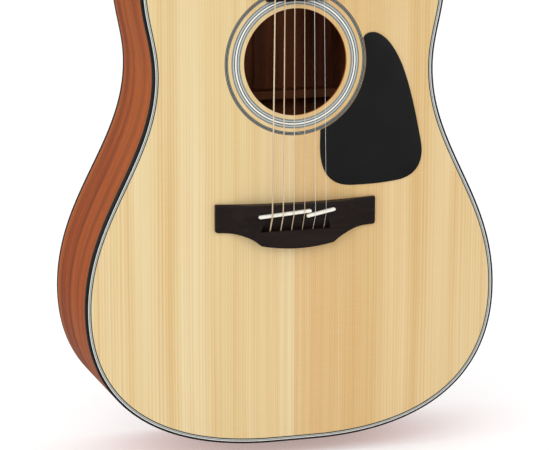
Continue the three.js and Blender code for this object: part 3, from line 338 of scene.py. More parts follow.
def metal(name, colour, shade, gloss=0.16, scratches=1.0, metallic=1.0):
    finish = Finish(name, Metallic=metallic)
    smear = finish.noise(finish.place, 160, 4, 0.6)
    scratch = finish.noise(finish.scaled((1, 6, 0.5)), 1600, 2)
    tint = finish.mix(finish.span(smear, 0.4, 0.85), rgb(*colour), rgb(*shade))
    finish.set(Base_Color=finish.worn(tint, rgb(*[min(255, v + 25) for v in colour])))
    finish.set(Roughness=finish.span(smear, 0.3, 0.75, gloss - 0.05, gloss + 0.1))
    finish.bump(scratch, 0.00001, 0.12 * scratches)
    return finish.material


def wound(name, colour, shade, pitch):
    """A string wrapped in fine wire: ridges run round it, one to each turn of the wire."""
    finish = Finish(name, Metallic=0.3)
    tarnish = finish.noise(finish.scaled((1, 1, 0.15)), 90, 3)
    turns = {"Vector": finish.place, "Scale": 1 / (pitch * MM) / 3.18, "Distortion": 0.4}
    ridges = finish.node("TexWave", turns, bands_direction="Z").outputs["Fac"]
    tint = finish.mix(finish.span(tarnish, 0.35, 0.75), rgb(*colour), rgb(*shade))
    # Darker in the grooves between the turns of wire: painted shade, as the ridges are only a bump.
    hollow = finish.mix(finish.span(ridges, 0.0, 0.5, 0.45, 0), tint, rgb(110, 84, 60))
    finish.set(Base_Color=hollow)
    finish.set(Roughness=finish.span(tarnish, 0.3, 0.8, 0.3, 0.45))
    finish.bump(ridges, 0.00006, 0.6)
    return finish.material


def pearl(name):
    finish = Finish(name, Coat_Weight=0.6, Coat_Roughness=0.05)
    wave = finish.noise(finish.scaled((1, 1, 0.5)), 420, 4, 0.6, 1.5)
    tint = finish.mix(finish.span(wave, 0.35, 0.6), rgb(236, 240, 236), rgb(196, 214, 214))
    tint = finish.mix(finish.span(wave, 0.55, 0.75, 0, 0.7), tint, rgb(238, 214, 222))
    finish.set(Base_Color=tint, Roughness=finish.span(wave, 0.3, 0.7, 0.2, 0.35))
    finish.bump(wave, 0.00001, 0.15)
    return finish.material


def floor_finish(name):
    finish = Finish(name, Roughness=0.9, Specular_IOR_Level=0.1)
    mottle = finish.noise(finish.place, 3, 3)
    finish.set(Base_Color=finish.mix(mottle, rgb(250, 250, 250), rgb(246, 246, 247)))
    finish.set(Emission_Color=(1, 1, 1, 1), Emission_Strength=0.27)
    return finish.material


MAHOGANY = [(104, 40, 15), (165, 76, 27), (198, 110, 45)]
ROSEWOOD = [(14, 11, 10), (24, 18, 17), (54, 36, 29)]

SPRUCE = spruce("spruce_top")
SIDE_WOOD = wood("mahogany_side", MAHOGANY, (0.03, 1, 1), stored="grain", gloss=0.36, coat=0.08)
BACK_WOOD = wood("mahogany_back", MAHOGANY, gloss=0.36, coat=0.15, matched=True)
# Mahogany for the inside, darker than the outside: painted shade inside the body. It is unfinished, so
# it has no coat.
SHADED_INSIDE_WOOD = wood("mahogany_inside_shaded", [(84, 42, 24), (138, 74, 44), (166, 102, 62)], gloss=0.7,
                   coat=0.0)
NECK_WOOD = wood("neck_wood", [(96, 50, 28), (140, 82, 48), (166, 106, 66)], gloss=0.46)
BRACE_WOOD = wood("brace_spruce", [(196, 160, 110), (221, 194, 148), (234, 212, 172)], pores=0.4,
                  gloss=0.75, coat=0.0)
BACK_BRACE_WOOD = wood("back_brace_wood", [(92, 48, 28), (130, 74, 44), (152, 94, 58)], gloss=0.7,
                       coat=0.0)
BOARD_WOOD = wood("rosewood_board", ROSEWOOD, (1, 1, 0.04), gloss=0.5, coat=0.0)
BRIDGE_WOOD = wood("rosewood_bridge", ROSEWOOD, (0.05, 1, 1), gloss=0.48, coat=0.0)
HEAD_WOOD = wood("rosewood_head", ROSEWOOD, gloss=0.3, coat=0.4)
BLACK_TRIM = plastic("binding", (20, 20, 21), (40, 40, 42), 0.3)
BLACK_FIBRE = plastic("purfling_black", (34, 35, 37), (60, 61, 62), 0.5, 1800)
WHITE_FIBRE = plastic("purfling_white", (226, 226, 218), (240, 240, 236), 0.5, 1800)
GREY_FIBRE = plastic("rosette_grey", (160, 168, 165), (186, 192, 188), 0.45, 1400)
GUARD = plastic("pickguard", (23, 23, 24), (34, 34, 36), 0.4, 700)
BONE = bone("bone")
CHROME = metal("chrome", (206, 208, 211), (178, 181, 185))
BRASS = metal("brass", (196, 160, 92), (150, 112, 62), 0.28)
FRET_METAL = metal("fret_nickel", (200, 198, 190), (168, 166, 158), 0.2)
ROD_STEEL = metal("rod_steel", (120, 122, 124), (84, 84, 86), 0.34)
PLAIN = metal("plain_string", (226, 229, 226), (202, 206, 205), 0.32, metallic=0.2)
WOUND = wound("wound_string", (246, 224, 190), (222, 192, 154), 0.45)
PEARL = pearl("pearl")


# ---------------------------------------------------------------- meshes
# A shape is a pair of lists: corners, and faces as tuples of corner numbers.


class Skin:
    """A mesh under construction. Loops are lists of corner numbers."""

    def __init__(self):
        self.corners, self.faces = [], []

    def add(self, points):
        start = len(self.corners)
        self.corners += [Vector(p) for p in points]
        return list(range(start, len(self.corners)))

    def join(self, a, b):
        count = len(a)
        self.faces += [(a[k], a[(k + 1) % count], b[(k + 1) % count], b[k]) for k in range(count)]

    def fill(self, loops, rims, level, spacing=0):
        """A face inside the first loop and outside the others, on corners that are there already."""
        flat, triangles, edges = sheet(loops, spacing)
        known = {}
        for edge, rim in zip(edges, rims):
            known.update(zip(edge, rim))
        for k, p in enumerate(flat):
            if k not in known:
                known[k], = self.add([(p.x, level(p.x, p.y), p.y)])
        self.faces += [tuple(known[k] for k in triangle) for triangle in triangles]

    def shape(self):
        return self.corners, self.faces


def loft(rings, closed=False):
    """A skin over rings of points, capped at both ends, or joined end to start."""
    skin = Skin()
    loops = [skin.add(ring) for ring in rings]
    for a, b in zip(loops, loops[1:] + loops[:1] * closed):
        skin.join(a, b)
    if not closed:
        skin.faces += [tuple(reversed(loops[0])), tuple(loops[-1])]
    return skin.shape()


def together(*shapes):
    corners, faces = [], []
    for more, over in shapes:
        start = len(corners)
        corners += more
        faces += [tuple(start + k for k in face) for face in over]
    return corners, faces


def moved(shape, matrix):
    corners, faces = shape
    return [matrix @ Vector(c) for c in corners], faces


def between(start, end, share):
    return start + (end - start) * share


def smooth(share):
    """The share kept from 0 to 1, with a gentle start and end."""
    t = min(1, max(0, share))
    return t * t * (3 - 2 * t)


def spread(start, end, steps):
    """Evenly spaced values, both ends included."""
    return [between(start, end, k / steps) for k in range(steps + 1)]


def points(*places):
    return [Vector(place) for place in places]


def mirrored(loop):
    """The flat loop's points on the other side, in the opposite order."""
    return [Vector((-p.x, p.y)) for p in reversed(loop)]


def lifted(loop, z):
    return [p + Vector((0, z)) for p in loop]


def laid(loop, z):
    """A flat loop lying level at height z."""
    return [Vector((p.x, p.y, z)) for p in loop]


def stood(loop, y):
    """A flat loop standing upright, facing along y."""
    return [Vector((p.x, y, p.y)) for p in loop]


def circle(radius, count, x=0.0, z=0.0):
    turns = [math.tau * k / count for k in range(count)]
    return [Vector((x + radius * math.cos(t), z + radius * math.sin(t))) for t in turns]


def lathe(profile, sides=40):
    """A solid of revolution about z, from [radius, height] pairs."""
    return loft([laid(circle(max(radius, 0.01), sides), height) for radius, height in profile])


def pipe(profile, sides=40):
    """A ring turned about z from a closed section of [radius, height] pairs."""
    return loft([laid(circle(radius, sides), height) for radius, height in profile], closed=True)


TO_Y = Matrix.Rotation(math.radians(-90), 4, "X")
TO_X = Matrix.Rotation(math.radians(90), 4, "Y")


def tube(path, radius, sides=12):
    """A round wire along a path, with no twist between its rings."""
    rings = []
    heading = (path[1] - path[0]).normalized()
    across = heading.orthogonal().normalized()
    for k, point in enumerate(path):
        ahead = path[min(k + 1, len(path) - 1)] - path[max(k - 1, 0)]
        turn = heading.rotation_difference(ahead.normalized())
        heading = ahead.normalized()
        across = (turn @ across).normalized()
        up = heading.cross(across)
        rings.append([point + radius * (across * p.x + up * p.y) for p in circle(1, sides)])
    return loft(rings)


def eased(stops, reach=2.0, steps=5):
    """The path with each inner corner rounded off over a short reach."""
    path = [stops[0]]
    for before, here, after in zip(stops, stops[1:], stops[2:]):
        room = min(reach, (here - before).length * 0.45, (after - here).length * 0.45)
        start = here + (before - here).normalized() * room
        end = here + (after - here).normalized() * room
        path += [start, *bend(start, here, end, steps)]
    return path + [stops[-1]]


def curve(a, b, c, d, steps):
    """Points of a cubic curve after its first point."""
    a, b, c, d = (Vector(p) for p in (a, b, c, d))
    path = []
    for t in spread(0, 1, steps)[1:]:
        s = 1 - t
        path.append(a * s ** 3 + b * 3 * s * s * t + c * 3 * s * t * t + d * t ** 3)
    return path


def bend(a, b, c, steps):
    """Points of a quadratic curve after its first point."""
    a, b, c = Vector(a), Vector(b), Vector(c)
    return curve(a, a + (b - a) * 2 / 3, c + (b - c) * 2 / 3, c, steps)


def inwards(loop):
    """Unit vectors that point into a closed flat loop at each of its points."""
    count = len(loop)
    area = sum(loop[k - 1].cross(loop[k]) for k in range(count))
    normals = []
    for k in range(count):
        arriving = (loop[k] - loop[k - 1]).normalized()
        leaving = (loop[(k + 1) % count] - loop[k]).normalized()
        tangent = (arriving + leaving).normalized()
        stretch = 1 / max(0.5, tangent.dot(leaving))
        normal = Vector((-tangent.y, tangent.x)) * stretch
        normals.append(normal if area > 0 else -normal)
    return normals


def moved_in(loop, distance):
    return [p + n * distance for p, n in zip(loop, inwards(loop))]


def within(point, loop):
    inside = False
    for a, b in zip(loop, loop[1:] + loop[:1]):
        if (a.y > point.y) != (b.y > point.y):
            inside ^= point.x < between(a.x, b.x, (point.y - a.y) / (b.y - a.y))
    return inside


def sheet(loops, spacing=0):
    """Triangles between flat loops, the first one outermost. Spacing adds points inside."""
    def clear(point):
        return not any(within(point, hole) for hole in loops[1:])

    flat, edges, numbers = [], [], []
    for loop in loops:
        own = [len(flat) + k for k in range(len(loop))]
        numbers.append(own)
        edges += zip(own, own[1:] + own[:1])
        flat += [p.copy() for p in loop]
    if spacing:
        core = moved_in(loops[0], spacing * 0.5)
        left, low_end = min(p.x for p in core), min(p.y for p in core)
        rows = int((max(p.y for p in core) - low_end) / spacing)
        columns = int((max(p.x for p in core) - left) / spacing)
        for i in range(rows + 1):
            for k in range(columns + 1):
                shift = 0.5 * (i % 2)
                point = Vector((left + (k + shift) * spacing, low_end + i * spacing))
                if within(point, core) and clear(point):
                    flat.append(point)
    corners, _, faces, origin, _, _ = delaunay_2d_cdt(flat, edges, [], 1, 1e-6)
    faces = [face for face in faces
             if clear(sum((corners[k] for k in face), Vector((0, 0))) / 3)]
    place = {old: new for new, olds in enumerate(origin) for old in olds}
    return corners, faces, [[place[k] for k in own] for own in numbers]


def slab(outline, front, back, rounding=0.4, spacing=0, holes=(), steps=3):
    """A plate drawn in x and z, with its front edge rounded. front and back give y at (x, z)."""
    skin = Skin()

    def raised(loop, level, drop=0.0):
        return skin.add([(p.x, level(p.x, p.y) + drop, p.y) for p in loop])

    behind = [raised(loop, back) for loop in (outline, *holes)]
    skin.fill([outline, *holes], behind, back, spacing)
    edge = behind[0]
    for turn in spread(0, math.pi / 2, steps):
        inner = moved_in(outline, rounding * (1 - math.cos(turn)))
        ahead = raised(inner, front, rounding * (1 - math.sin(turn)))
        skin.join(edge, ahead)
        edge = ahead
    rims = [edge]
    for hole, rim in zip(holes, behind[1:]):
        rims.append(raised(hole, front))
        skin.join(rim, rims[-1])
    skin.fill([inner, *holes], rims, front, spacing)
    return skin.shape()


def at(level):
    return lambda x, z: level


def new_mesh(name, shape):
    corners, faces = shape
    mesh = bpy.data.meshes.new(name)
    mesh.from_pydata([tuple(c) for c in corners], [], faces)
    face_out(mesh)
    return mesh


def add_object(name, data):
    made = bpy.data.objects.new(name, data)
    bpy.context.scene.collection.objects.link(made)
    return made


def face_out(mesh):
    work = bmesh.new()
    work.from_mesh(mesh)
    bmesh.ops.recalc_face_normals(work, faces=work.faces)
    work.to_mesh(mesh)
    work.free()


def combined(shape, tools, operation="DIFFERENCE"):
    """The shape after one boolean operation with each of the tools."""
    blank = add_object("blank", new_mesh("blank", shape))
    helpers = [blank]
    for tool in tools:
        helper = add_object("tool", new_mesh("tool", tool))
        helpers.append(helper)
        step = blank.modifiers.new("step", "BOOLEAN")
        step.operation = operation
        step.solver = "EXACT"
        step.object = helper
    graph = bpy.context.evaluated_depsgraph_get()
    result = blank.evaluated_get(graph).to_mesh()
    corners = [v.co.copy() for v in result.vertices]
    faces = [tuple(p.vertices) for p in result.polygons]
    for helper in helpers:
        bpy.data.objects.remove(helper)
    return corners, faces


def piece(name, shape, finish, slot, stands_for=(), body=ROOT, place=None, sharp=35, grain=None):
    """Adds one named piece, smooth except where its faces meet at more than the sharp angle."""
    mesh = new_mesh(name, shape)
    if grain:
        stored = mesh.attributes.new("grain", "FLOAT_VECTOR", "POINT")
        for item, value in zip(stored.data, grain):
            item.vector = Vector(value) * MM
    mesh.transform(Matrix.Scale(MM, 4) @ (place or Matrix.Identity(4)))
    face_out(mesh)
    mesh.materials.append(finish)
    mesh.shade_smooth()
    mesh.set_sharp_from_angle(angle=math.radians(sharp))
    made = add_object(name, mesh)
    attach(made, body)
    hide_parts(*stands_for)
    return made


# ---------------------------------------------------------------- body


def half_outline():
    """The treble half of the body's edge as (x, height), from the tail's centre to the neck's."""
    low_x, mid_x, high_x = LOWER_BOUT["half"], WAIST["half"], UPPER_BOUT["half"]
    low_z, mid_z, high_z = LOWER_BOUT["height"], WAIST["height"], UPPER_BOUT["height"]
    tail, neck = TAIL_FLAT, NECK_FLAT
    path = points((0, 0), (tail["half"] / 2, 0), (tail["half"], 0))
    knee = (tail["half"] + tail["reach"], 0)
    path += curve(path[-1], knee, (low_x, low_z - LOWER_BOUT["below"]), (low_x, low_z), 44)
    rise = (low_x, low_z + LOWER_BOUT["above"])
    path += curve(path[-1], rise, (mid_x, mid_z - WAIST["below"]), (mid_x, mid_z), 36)
    rise = (mid_x, mid_z + WAIST["above"])
    path += curve(path[-1], rise, (high_x, high_z - UPPER_BOUT["below"]), (high_x, high_z), 18)
    rise = (high_x, high_z + UPPER_BOUT["above"])
    neck_point = (neck["half"], BODY_LENGTH)
    path += curve(path[-1], rise, (neck["half"] + neck["reach"], BODY_LENGTH), neck_point, 32)
    return path + [Vector((x, BODY_LENGTH)) for x in (RIM_END + 10, RIM_END, RIM_END / 2, 0)]


HALF = lifted(half_outline(), TAIL_Z)
BODY_LOOP = HALF + mirrored(HALF[1:-1])
BODY_IN = inwards(BODY_LOOP)


def body_inset(distance):
    return [p + n * distance for p, n in zip(BODY_LOOP, BODY_IN)]


def half_width(z):
    for a, b in zip(HALF, HALF[1:]):
        if a.y <= z <= b.y and b.y > a.y:
            return between(a.x, b.x, (z - a.y) / (b.y - a.y))
    return HALF[2].x


def rear(depth):
    """A level ahead of the sloping plane that the back's edge lies in."""
    def level(x, z):
        along = (z - TAIL_Z) / BODY_LENGTH
        return FRONT_Y + between(TAIL_DEPTH, NECK_END_DEPTH, along) - depth

    return level


def front(depth):
    return at(FRONT_Y + depth)


def arched(depth):
    """A level of the back, which bulges along its middle."""
    def level(x, z):
        across = min(1, abs(x) / half_width(z))
        along = (z - TAIL_Z) / BODY_LENGTH * 2 - 1
        return rear(depth)(x, z) + BACK_ARCH * (1 - across ** 2) * (1 - along ** 4)

    return level


def edge_rings(strip, indices):
    """Rings of a strip round the body, from a section of (inset, level) pairs."""
    rings = []
    for k in indices:
        ring = []
        for inset, level in strip:
            p = BODY_LOOP[k] + BODY_IN[k] * inset
            ring.append(Vector((p.x, level(p.x, p.y), p.y)))
        rings.append(ring)
    return rings


# Stretches of the body's edge, as point numbers of BODY_LOOP.
EVERY = list(range(len(BODY_LOOP)))
TREBLE_RIM = list(range(len(HALF) - 2))
BASS_RIM = [-k % len(BODY_LOOP) for k in TREBLE_RIM]
OPEN_AT_NECK = BASS_RIM[:0:-1] + TREBLE_RIM


def rounded_corner(level, radius, sign):
    """Section points round an outer edge. sign is 1 where the strip's face looks forwards."""
    found = []
    for turn in spread(0, math.pi / 2, 5):
        drop = sign * radius * (1 - math.sin(turn))
        inset = radius * (1 - math.cos(turn))
        found.append((inset, lambda x, z, drop=drop: level(x, z) + drop))
    return found


def make_edges():
    """Binding round both edges, open under the neck in front, and the purfling's thin lines."""
    for name, level, sign, indices in (("top", front, 1, OPEN_AT_NECK), ("back", rear, -1, EVERY)):
        strip = [(0, level(BINDING_HEIGHT)), *rounded_corner(level(0), 0.9, sign)]
        strip += [(BINDING_WIDTH, level(0)), (BINDING_WIDTH, level(BINDING_HEIGHT))]
        shape = loft(edge_rings(strip, indices), closed=indices is EVERY)
        piece(f"{name}_binding_strip", shape, BLACK_TRIM, "binding", [f"{name}_binding"])
    lines = [(BLACK_FIBRE, 0.4), (WHITE_FIBRE, 0.65), (BLACK_FIBRE, 0.45), (GREY_FIBRE, 0.85),
             (BLACK_FIBRE, 1.0)]
    inset = BINDING_WIDTH + 0.05
    for k, (finish, width) in enumerate(lines):
        far = inset + width
        strip = [(inset, front(-0.01)), (far, front(-0.01))]
        strip += [(far, front(TOP_THICKNESS)), (inset, front(TOP_THICKNESS))]
        shape = loft(edge_rings(strip, EVERY), closed=True)
        piece(f"top_purfling_{k + 1}", shape, finish, "purfling", ["top_purfling"])
        inset = far


def make_rims():
    """The outside is drawn in rows, so that it bends smoothly."""
    ahead, behind = front(BINDING_HEIGHT), rear(BINDING_HEIGHT)
    strip = [(0, ahead), (RIM_THICKNESS, ahead), (RIM_THICKNESS, behind), (0, behind)]
    for share in spread(0, 1, 8)[1:-1]:
        strip.append((0, lambda x, z, t=share: between(behind(x, z), ahead(x, z), t)))
    for name, indices in (("rim_treble", TREBLE_RIM), ("rim_bass", BASS_RIM)):
        rings = edge_rings(strip, indices)
        travelled, grain = 0.0, []
        for before, ring in zip(rings[:1] + rings, rings):
            travelled += (ring[0] - before[0]).length
            grain += [(travelled, p.y, 0) for p in ring]
        piece(name + "_side", loft(rings), SIDE_WOOD, "mahogany", [name], grain=grain)


def make_back():
    loop = body_inset(BINDING_WIDTH)
    shape = slab(loop, arched(BACK_THICKNESS), arched(0), 0.05, 12, steps=1)
    plate = piece("back_plate", shape, BACK_WOOD, "mahogany", ["back"])
    # Faces that look inwards get the darker inside mahogany: painted shade inside the body.
    plate.data.materials.append(SHADED_INSIDE_WOOD)
    for face in plate.data.polygons:
        face.material_index = int(face.normal.y < -0.5)


def make_soundboard():
    """Flat plate with a rounded hole edge and the rosette's two channels."""
    sides = 160
    groove_rim = OUTER_RING[1] + 1.9
    rounding = 0.6
    profile = [(groove_rim, 0)]
    for near, far in (OUTER_RING, INNER_RING):
        profile += [(far, 0), (far, INLAY_DEPTH), (near, INLAY_DEPTH), (near, 0)]
    for turn in spread(0, math.pi / 2, 4):
        radius = SOUNDHOLE_RADIUS + rounding * (1 - math.sin(turn))
        profile.append((radius, rounding * (1 - math.cos(turn))))
    profile += [(SOUNDHOLE_RADIUS, TOP_THICKNESS), (groove_rim, TOP_THICKNESS)]
    skin = Skin()
    rings = [skin.add(stood(circle(radius, sides, 0, SOUNDHOLE_Z), FRONT_Y + depth))
             for radius, depth in profile]
    for a, b in zip(rings, rings[1:]):
        skin.join(a, b)
    outline = body_inset(PURFLING_EDGE)
    hole = circle(groove_rim, sides, 0, SOUNDHOLE_Z)
    edges = []
    for rim, depth in ((rings[0], 0), (rings[-1], TOP_THICKNESS)):
        edges.append(skin.add(stood(outline, FRONT_Y + depth)))
        skin.fill([outline, hole], [edges[-1], rim], front(depth))
    skin.join(*edges)
    piece("soundboard_plate", skin.shape(), SPRUCE, "spruce_top", ["soundboard"])


def make_rosette():
    """Concentric strips, let into both channels: widths outwards from each channel's inner edge."""
    fine = [(BLACK_FIBRE, 0.35), (GREY_FIBRE, 0.3), (BLACK_FIBRE, 0.45), (GREY_FIBRE, 1.45),
            (BLACK_FIBRE, 0.8)]
    inner = fine + [(WHITE_FIBRE, 1.5)] + fine[::-1]
    outer = [(BLACK_FIBRE, 0.75), (GREY_FIBRE, 0.3), (BLACK_FIBRE, 1.1), (GREY_FIBRE, 0.3),
             (BLACK_FIBRE, 0.75)]
    place = Matrix.Translation((0, FRONT_Y, SOUNDHOLE_Z)) @ TO_Y.inverted()
    for node, (near, _), strips in (("rosette_inner_ring", INNER_RING, inner),
                                    ("rosette_outer_ring", OUTER_RING, outer)):
        for k, (finish, width) in enumerate(strips):
            far = near + width
            strip = [(near, 0.01), (far, 0.01), (far, -INLAY_DEPTH), (near, -INLAY_DEPTH)]
            piece(f"{node}_{k + 1}", pipe(strip, 160), finish, "rosette", [node], place=place)
            near = far


def make_pickguard():
    """It wraps the rosette's outer ring. Heights are from the soundhole's centre."""
    radius = OUTER_RING[1] + 0.4
    start, end = math.asin(20 / radius), -math.acos(24.2 / radius)
    loop = [Vector((radius * math.cos(t), radius * math.sin(t))) for t in spread(start, end, 26)]
    loop.append(Vector((23.9, -77)))
    loop += curve(loop[-1], (23.5, -99), (30, -116.8), (54, -117.6), 14)
    loop += curve(loop[-1], (76, -118), (92, -116.7), (104, -114.6), 10)
    loop += curve(loop[-1], (119.5, -111), (126.8, -99), (124.3, -82), 12)
    loop += curve(loop[-1], (119, -56), (114, -31), (105, -8), 10)
    loop += curve(loop[-1], (97, 11), (87, 23), (77, 25), 10)
    loop += bend(loop[-1], (68, 26), loop[0], 6)[:-1]
    loop = lifted(loop, SOUNDHOLE_Z)
    shape = slab(loop, front(-PICKGUARD_THICKNESS), front(0), 0.35)
    piece("pickguard_plate", shape, GUARD, "pickguard", ["pickguard"])


def make_strap_button():
    profile = [(3.2, 1.2), (3.2, 0.4), (4, 0), (6.4, 0), (7.1, 0.3), (7.5, 1.1), (7.5, 2.6)]
    profile += [(7.2, 3.5), (6.0, 4.4), (4.9, 5.4), (4.3, 6.6), (4.2, 7.8), (4.4, 9.2)]
    profile += [(5.1, 10.9), (6.1, 12.3), (6.8, 13.1), (6.8, 14.9), (6.4, 15)]
    piece("strap_button_turned", lathe(profile, 56), CHROME, "chrome", ["strap_button"])
    screw = [(1.8, 14.5), (1.8, 31), (0.3, 35)]
    piece("strap_screw_shank", lathe(screw, 20), ROD_STEEL, "rod_steel")
    dome = [(3.1, 1.3), (2.9, 0.9), (2.0, 0.55), (0.6, 0.4)]
    head = cross_cut(lathe(dome, 32), 2, 0.3, (0.2, 0.95), 0.4)
    piece("strap_screw_head", head, CHROME, "chrome")


def block(x0, x1, y0, y1, z0, z1):
    """A cutting tool between two corners."""
    ring = points((x0, y0), (x1, y0), (x1, y1), (x0, y1))
    return loft([laid(ring, z0), laid(ring, z1)])


def cross_cut(head, reach, half, levels, turn):
    """A screw's head with a cross cut between two levels, turned by some angle."""
    slots = [moved(block(-reach, reach, -half, half, *levels), Matrix.Rotation(angle, 4, "Z"))
             for angle in (turn, turn + math.pi / 2)]
    return combined(head, slots)


# ---------------------------------------------------------------- bridge


def bridge_outline():
    half, wing, belly, corner = (BRIDGE[k] for k in ("half", "wing", "belly", "corner"))
    turn, rise = BELLY_CORNER["half"], BELLY_CORNER["height"]
    side = points((half - 0.8, 0), (half, -0.8), (half, wing / 2), (half, wing + corner))
    side += bend(side[-1], (half, wing), (half - corner, wing), 6)
    side += curve(side[-1], (58, wing - 0.8), (46.3, wing - 3.5), (turn, rise), 16)
    middle = bend(side[-1], (0, 2 * belly - rise), (-turn, rise), 20)
    other = mirrored(side)
    top_edge = bend(other[-1], (0, -2 * BRIDGE["hollow"]), side[0], 24)
    return lifted(side + middle[:-1] + other + top_edge[:-1], BRIDGE_Z)


def bridge_top(x, z):
    """Full height in the middle, swept down to thin wing tips."""
    sweep = smooth((abs(x) - BRIDGE_SWEEP["start"]) / BRIDGE_SWEEP["length"])
    return FRONT_Y - between(BRIDGE["height"], BRIDGE["tip"], sweep)


def saddle_loop(ends, width):
    """Seen from the front: a bar with round ends."""
    a, b = points(*ends)
    heading = math.atan2(b.y - a.y, b.x - a.x)
    loop = []
    for centre, start in ((b, heading - math.pi / 2), (a, heading + math.pi / 2)):
        for turn in spread(start, start + math.pi, 12):
            loop.append(centre + Vector((math.cos(turn), math.sin(turn))) * width / 2)
    return lifted(loop, BRIDGE_Z)


def standing(loop, levels):
    """A solid with the same flat loop at each y level."""
    return loft([stood(loop, y) for y in levels])


def bridge_ramp():
    """The wedge cut behind the saddles, deepest at the wall that the strings come out of."""
    top, bottom = BRIDGE_Z + RAMP["top"], BRIDGE_Z + RAMP["bottom"]
    face = FRONT_Y - BRIDGE["height"]
    deep = face + RAMP["depth"]
    rise = face - 3
    slope = RAMP["depth"] / (top - bottom)
    over = (face - rise) / slope
    rings = []
    for narrow, wide in (RAMP["bass"], RAMP["treble"]):
        start = narrow - (wide - narrow) / (top - bottom) * over
        rings.append([(start, rise, top + over), (wide, deep, bottom), (wide, rise, bottom)])
    return loft(rings)


def string_x(string, spacing=SADDLE_STRING_SPACING):
    return (3.5 - string) * spacing


def string_hole(string):
    wall, edge = BRIDGE_Z + RAMP["bottom"], BRIDGE_Z + BRIDGE["belly"]
    profile = [(2.4, edge - 1), (2.4, edge + 9), (1.1, edge + 9.6), (1.1, wall + 1)]
    return moved(lathe(profile, 24), Matrix.Translation((string_x(string), FRONT_Y - HOLE_HEIGHT, 0)))


def make_bridge():
    blank = slab(bridge_outline(), bridge_top, front(0), 0.7, 4)
    slots = [standing(saddle_loop(ends, SADDLE_WIDTH + 2 * FIT),
                      [FRONT_Y - BRIDGE["height"] - 3, FRONT_Y - SADDLE_FLOOR + FIT])
             for ends in (SADDLE_LONG, SADDLE_SHORT)]
    holes = [string_hole(string) for string in STRINGS]
    shape = combined(blank, [*slots, bridge_ramp(), *holes])
    piece("bridge_carved", shape, BRIDGE_WOOD, "rosewood", ["bridge"])


def make_saddles():
    for node, ends in (("saddle_long", SADDLE_LONG), ("saddle_short", SADDLE_SHORT)):
        loop = saddle_loop(ends, SADDLE_WIDTH)
        steps = [(0, SADDLE_FLOOR), (0, 11.0), (0.12, 11.5), (0.4, 11.9), (0.8, 12.15),
                 (1.2, 12.27), (1.5, SADDLE_HEIGHT)]
        rings = [stood(moved_in(loop, inset), FRONT_Y - height) for inset, height in steps]
        piece(f"{node}_crowned", loft(rings), BONE, "bone", [node], sharp=60)


# ---------------------------------------------------------------- neck


def fret_z(fret):
    return NUT_Z - SCALE_LENGTH * (1 - 2 ** (-fret / 12))


def board_half(z):
    return (NUT_WIDTH + (NUT_Z - z) * BOARD_TAPER) / 2


def board_height(x):
    return BOARD_THICKNESS - x ** 2 / (2 * BOARD_RADIUS)


def make_fingerboard():
    rings = []
    for z in [BOARD_LOW_Z, BOARD_LOW_Z + 0.4, BODY_END_Z, NUT_Z - 0.05]:
        half = board_half(z)
        eased_edge = 0.5
        loop = [Vector((x, FRONT_Y - board_height(x))) for x in spread(half, -half, 24)]
        loop[0].x, loop[-1].x = half - eased_edge, eased_edge - half
        edge = loop[0].y + eased_edge
        loop += points((-half, edge), (-half, FRONT_Y), (half, FRONT_Y), (half, edge))
        rings.append(laid(loop, z))
    piece("fingerboard_blank", loft(rings), BOARD_WOOD, "rosewood", ["fingerboard"])


def make_frets():
    """Crowned nickel frets, filed back at their ends."""
    for fret in range(1, FRET_COUNT + 1):
        z = fret_z(fret)
        half = board_half(z) - 0.15
        rings = []
        for k in range(-14, 15):
            x = half * k / 14 if abs(k) < 13 else math.copysign(half - (14 - abs(k)) * 0.9, k)
            rise = 1.1 if abs(k) < 14 else 0.25
            ring = []
            for turn in spread(0, math.pi, 10):
                height = board_height(x) + rise * math.sin(turn) - 0.05
                ring.append(Vector((x, FRONT_Y - height, z + 1.1 * math.cos(turn))))
            rings.append(ring)
        piece(f"fret_{fret}", loft(rings), FRET_METAL, "chrome", sharp=60)


def make_dots():
    def proud(height):
        return lambda x, z: FRONT_Y - board_height(x) - height

    spots = [(fret, 0) for fret in (3, 5, 7, 9, 15, 17)] + [(12, -11), (12, 11)]
    for k, (fret, x) in enumerate(spots):
        z = (fret_z(fret) + fret_z(fret - 1)) / 2
        shape = slab(circle(3.1, 40, x, z), proud(0.03), proud(-0.97), 0.05, steps=1)
        piece(f"position_dot_{k + 1}", shape, PEARL, "purfling")
    for k, fret in enumerate((3, 5, 7, 9, 12, 15, 17)):
        z = (fret_z(fret) + fret_z(fret - 1)) / 2
        place = Matrix.Translation((-board_half(z), FRONT_Y - 3.2, z)) @ TO_X
        shape = lathe([(1, 0.6), (1, 0.02), (0.8, -0.04)], 24)
        piece(f"side_dot_{k + 1}", shape, PEARL, "purfling", place=place)


def make_nut():
    """Its top follows the strings, with a round-bottomed slot for each."""
    half = NUT_WIDTH / 2
    top = [(half, 0), (half, 6.8), (half - 0.5, 7.6)]
    for string in STRINGS:
        x = string_x(string, NUT_STRING_SPACING)
        room = STRING_RADII[string - 1] + 0.12
        crest = NUT_HEIGHT - x ** 2 / (2 * BOARD_RADIUS)
        top.append((x + room, crest))
        for turn in spread(0, math.pi, 6):
            top.append((x + room * math.cos(turn), NUT_SLOT_HEIGHT + room * (1 - math.sin(turn))))
        top.append((x - room, crest))
    top += [(-half + 0.5, 7.6), (-half, 6.8), (-half, 0)]
    profile = [(0, 0.4), (0.4, 0.0), (5.6, 0.0), (6.0, 0.4)]
    rings = []
    for z, drop in profile:
        rings.append([Vector((x, FRONT_Y - max(0, h - drop * (h > 1)), NUT_Z + z)) for x, h in top])
    piece("nut_slotted", loft(rings), BONE, "bone", ["nut"])


def shaft_depth(z):
    out = z - BODY_END_Z
    plain = between(SHAFT_DEPTH["body"], SHAFT_DEPTH["nut"], out / (NUT_Z - BODY_END_Z))
    return plain + (HEEL_DEPTH - plain) / (1 + (out / HEEL_REACH) ** 4)


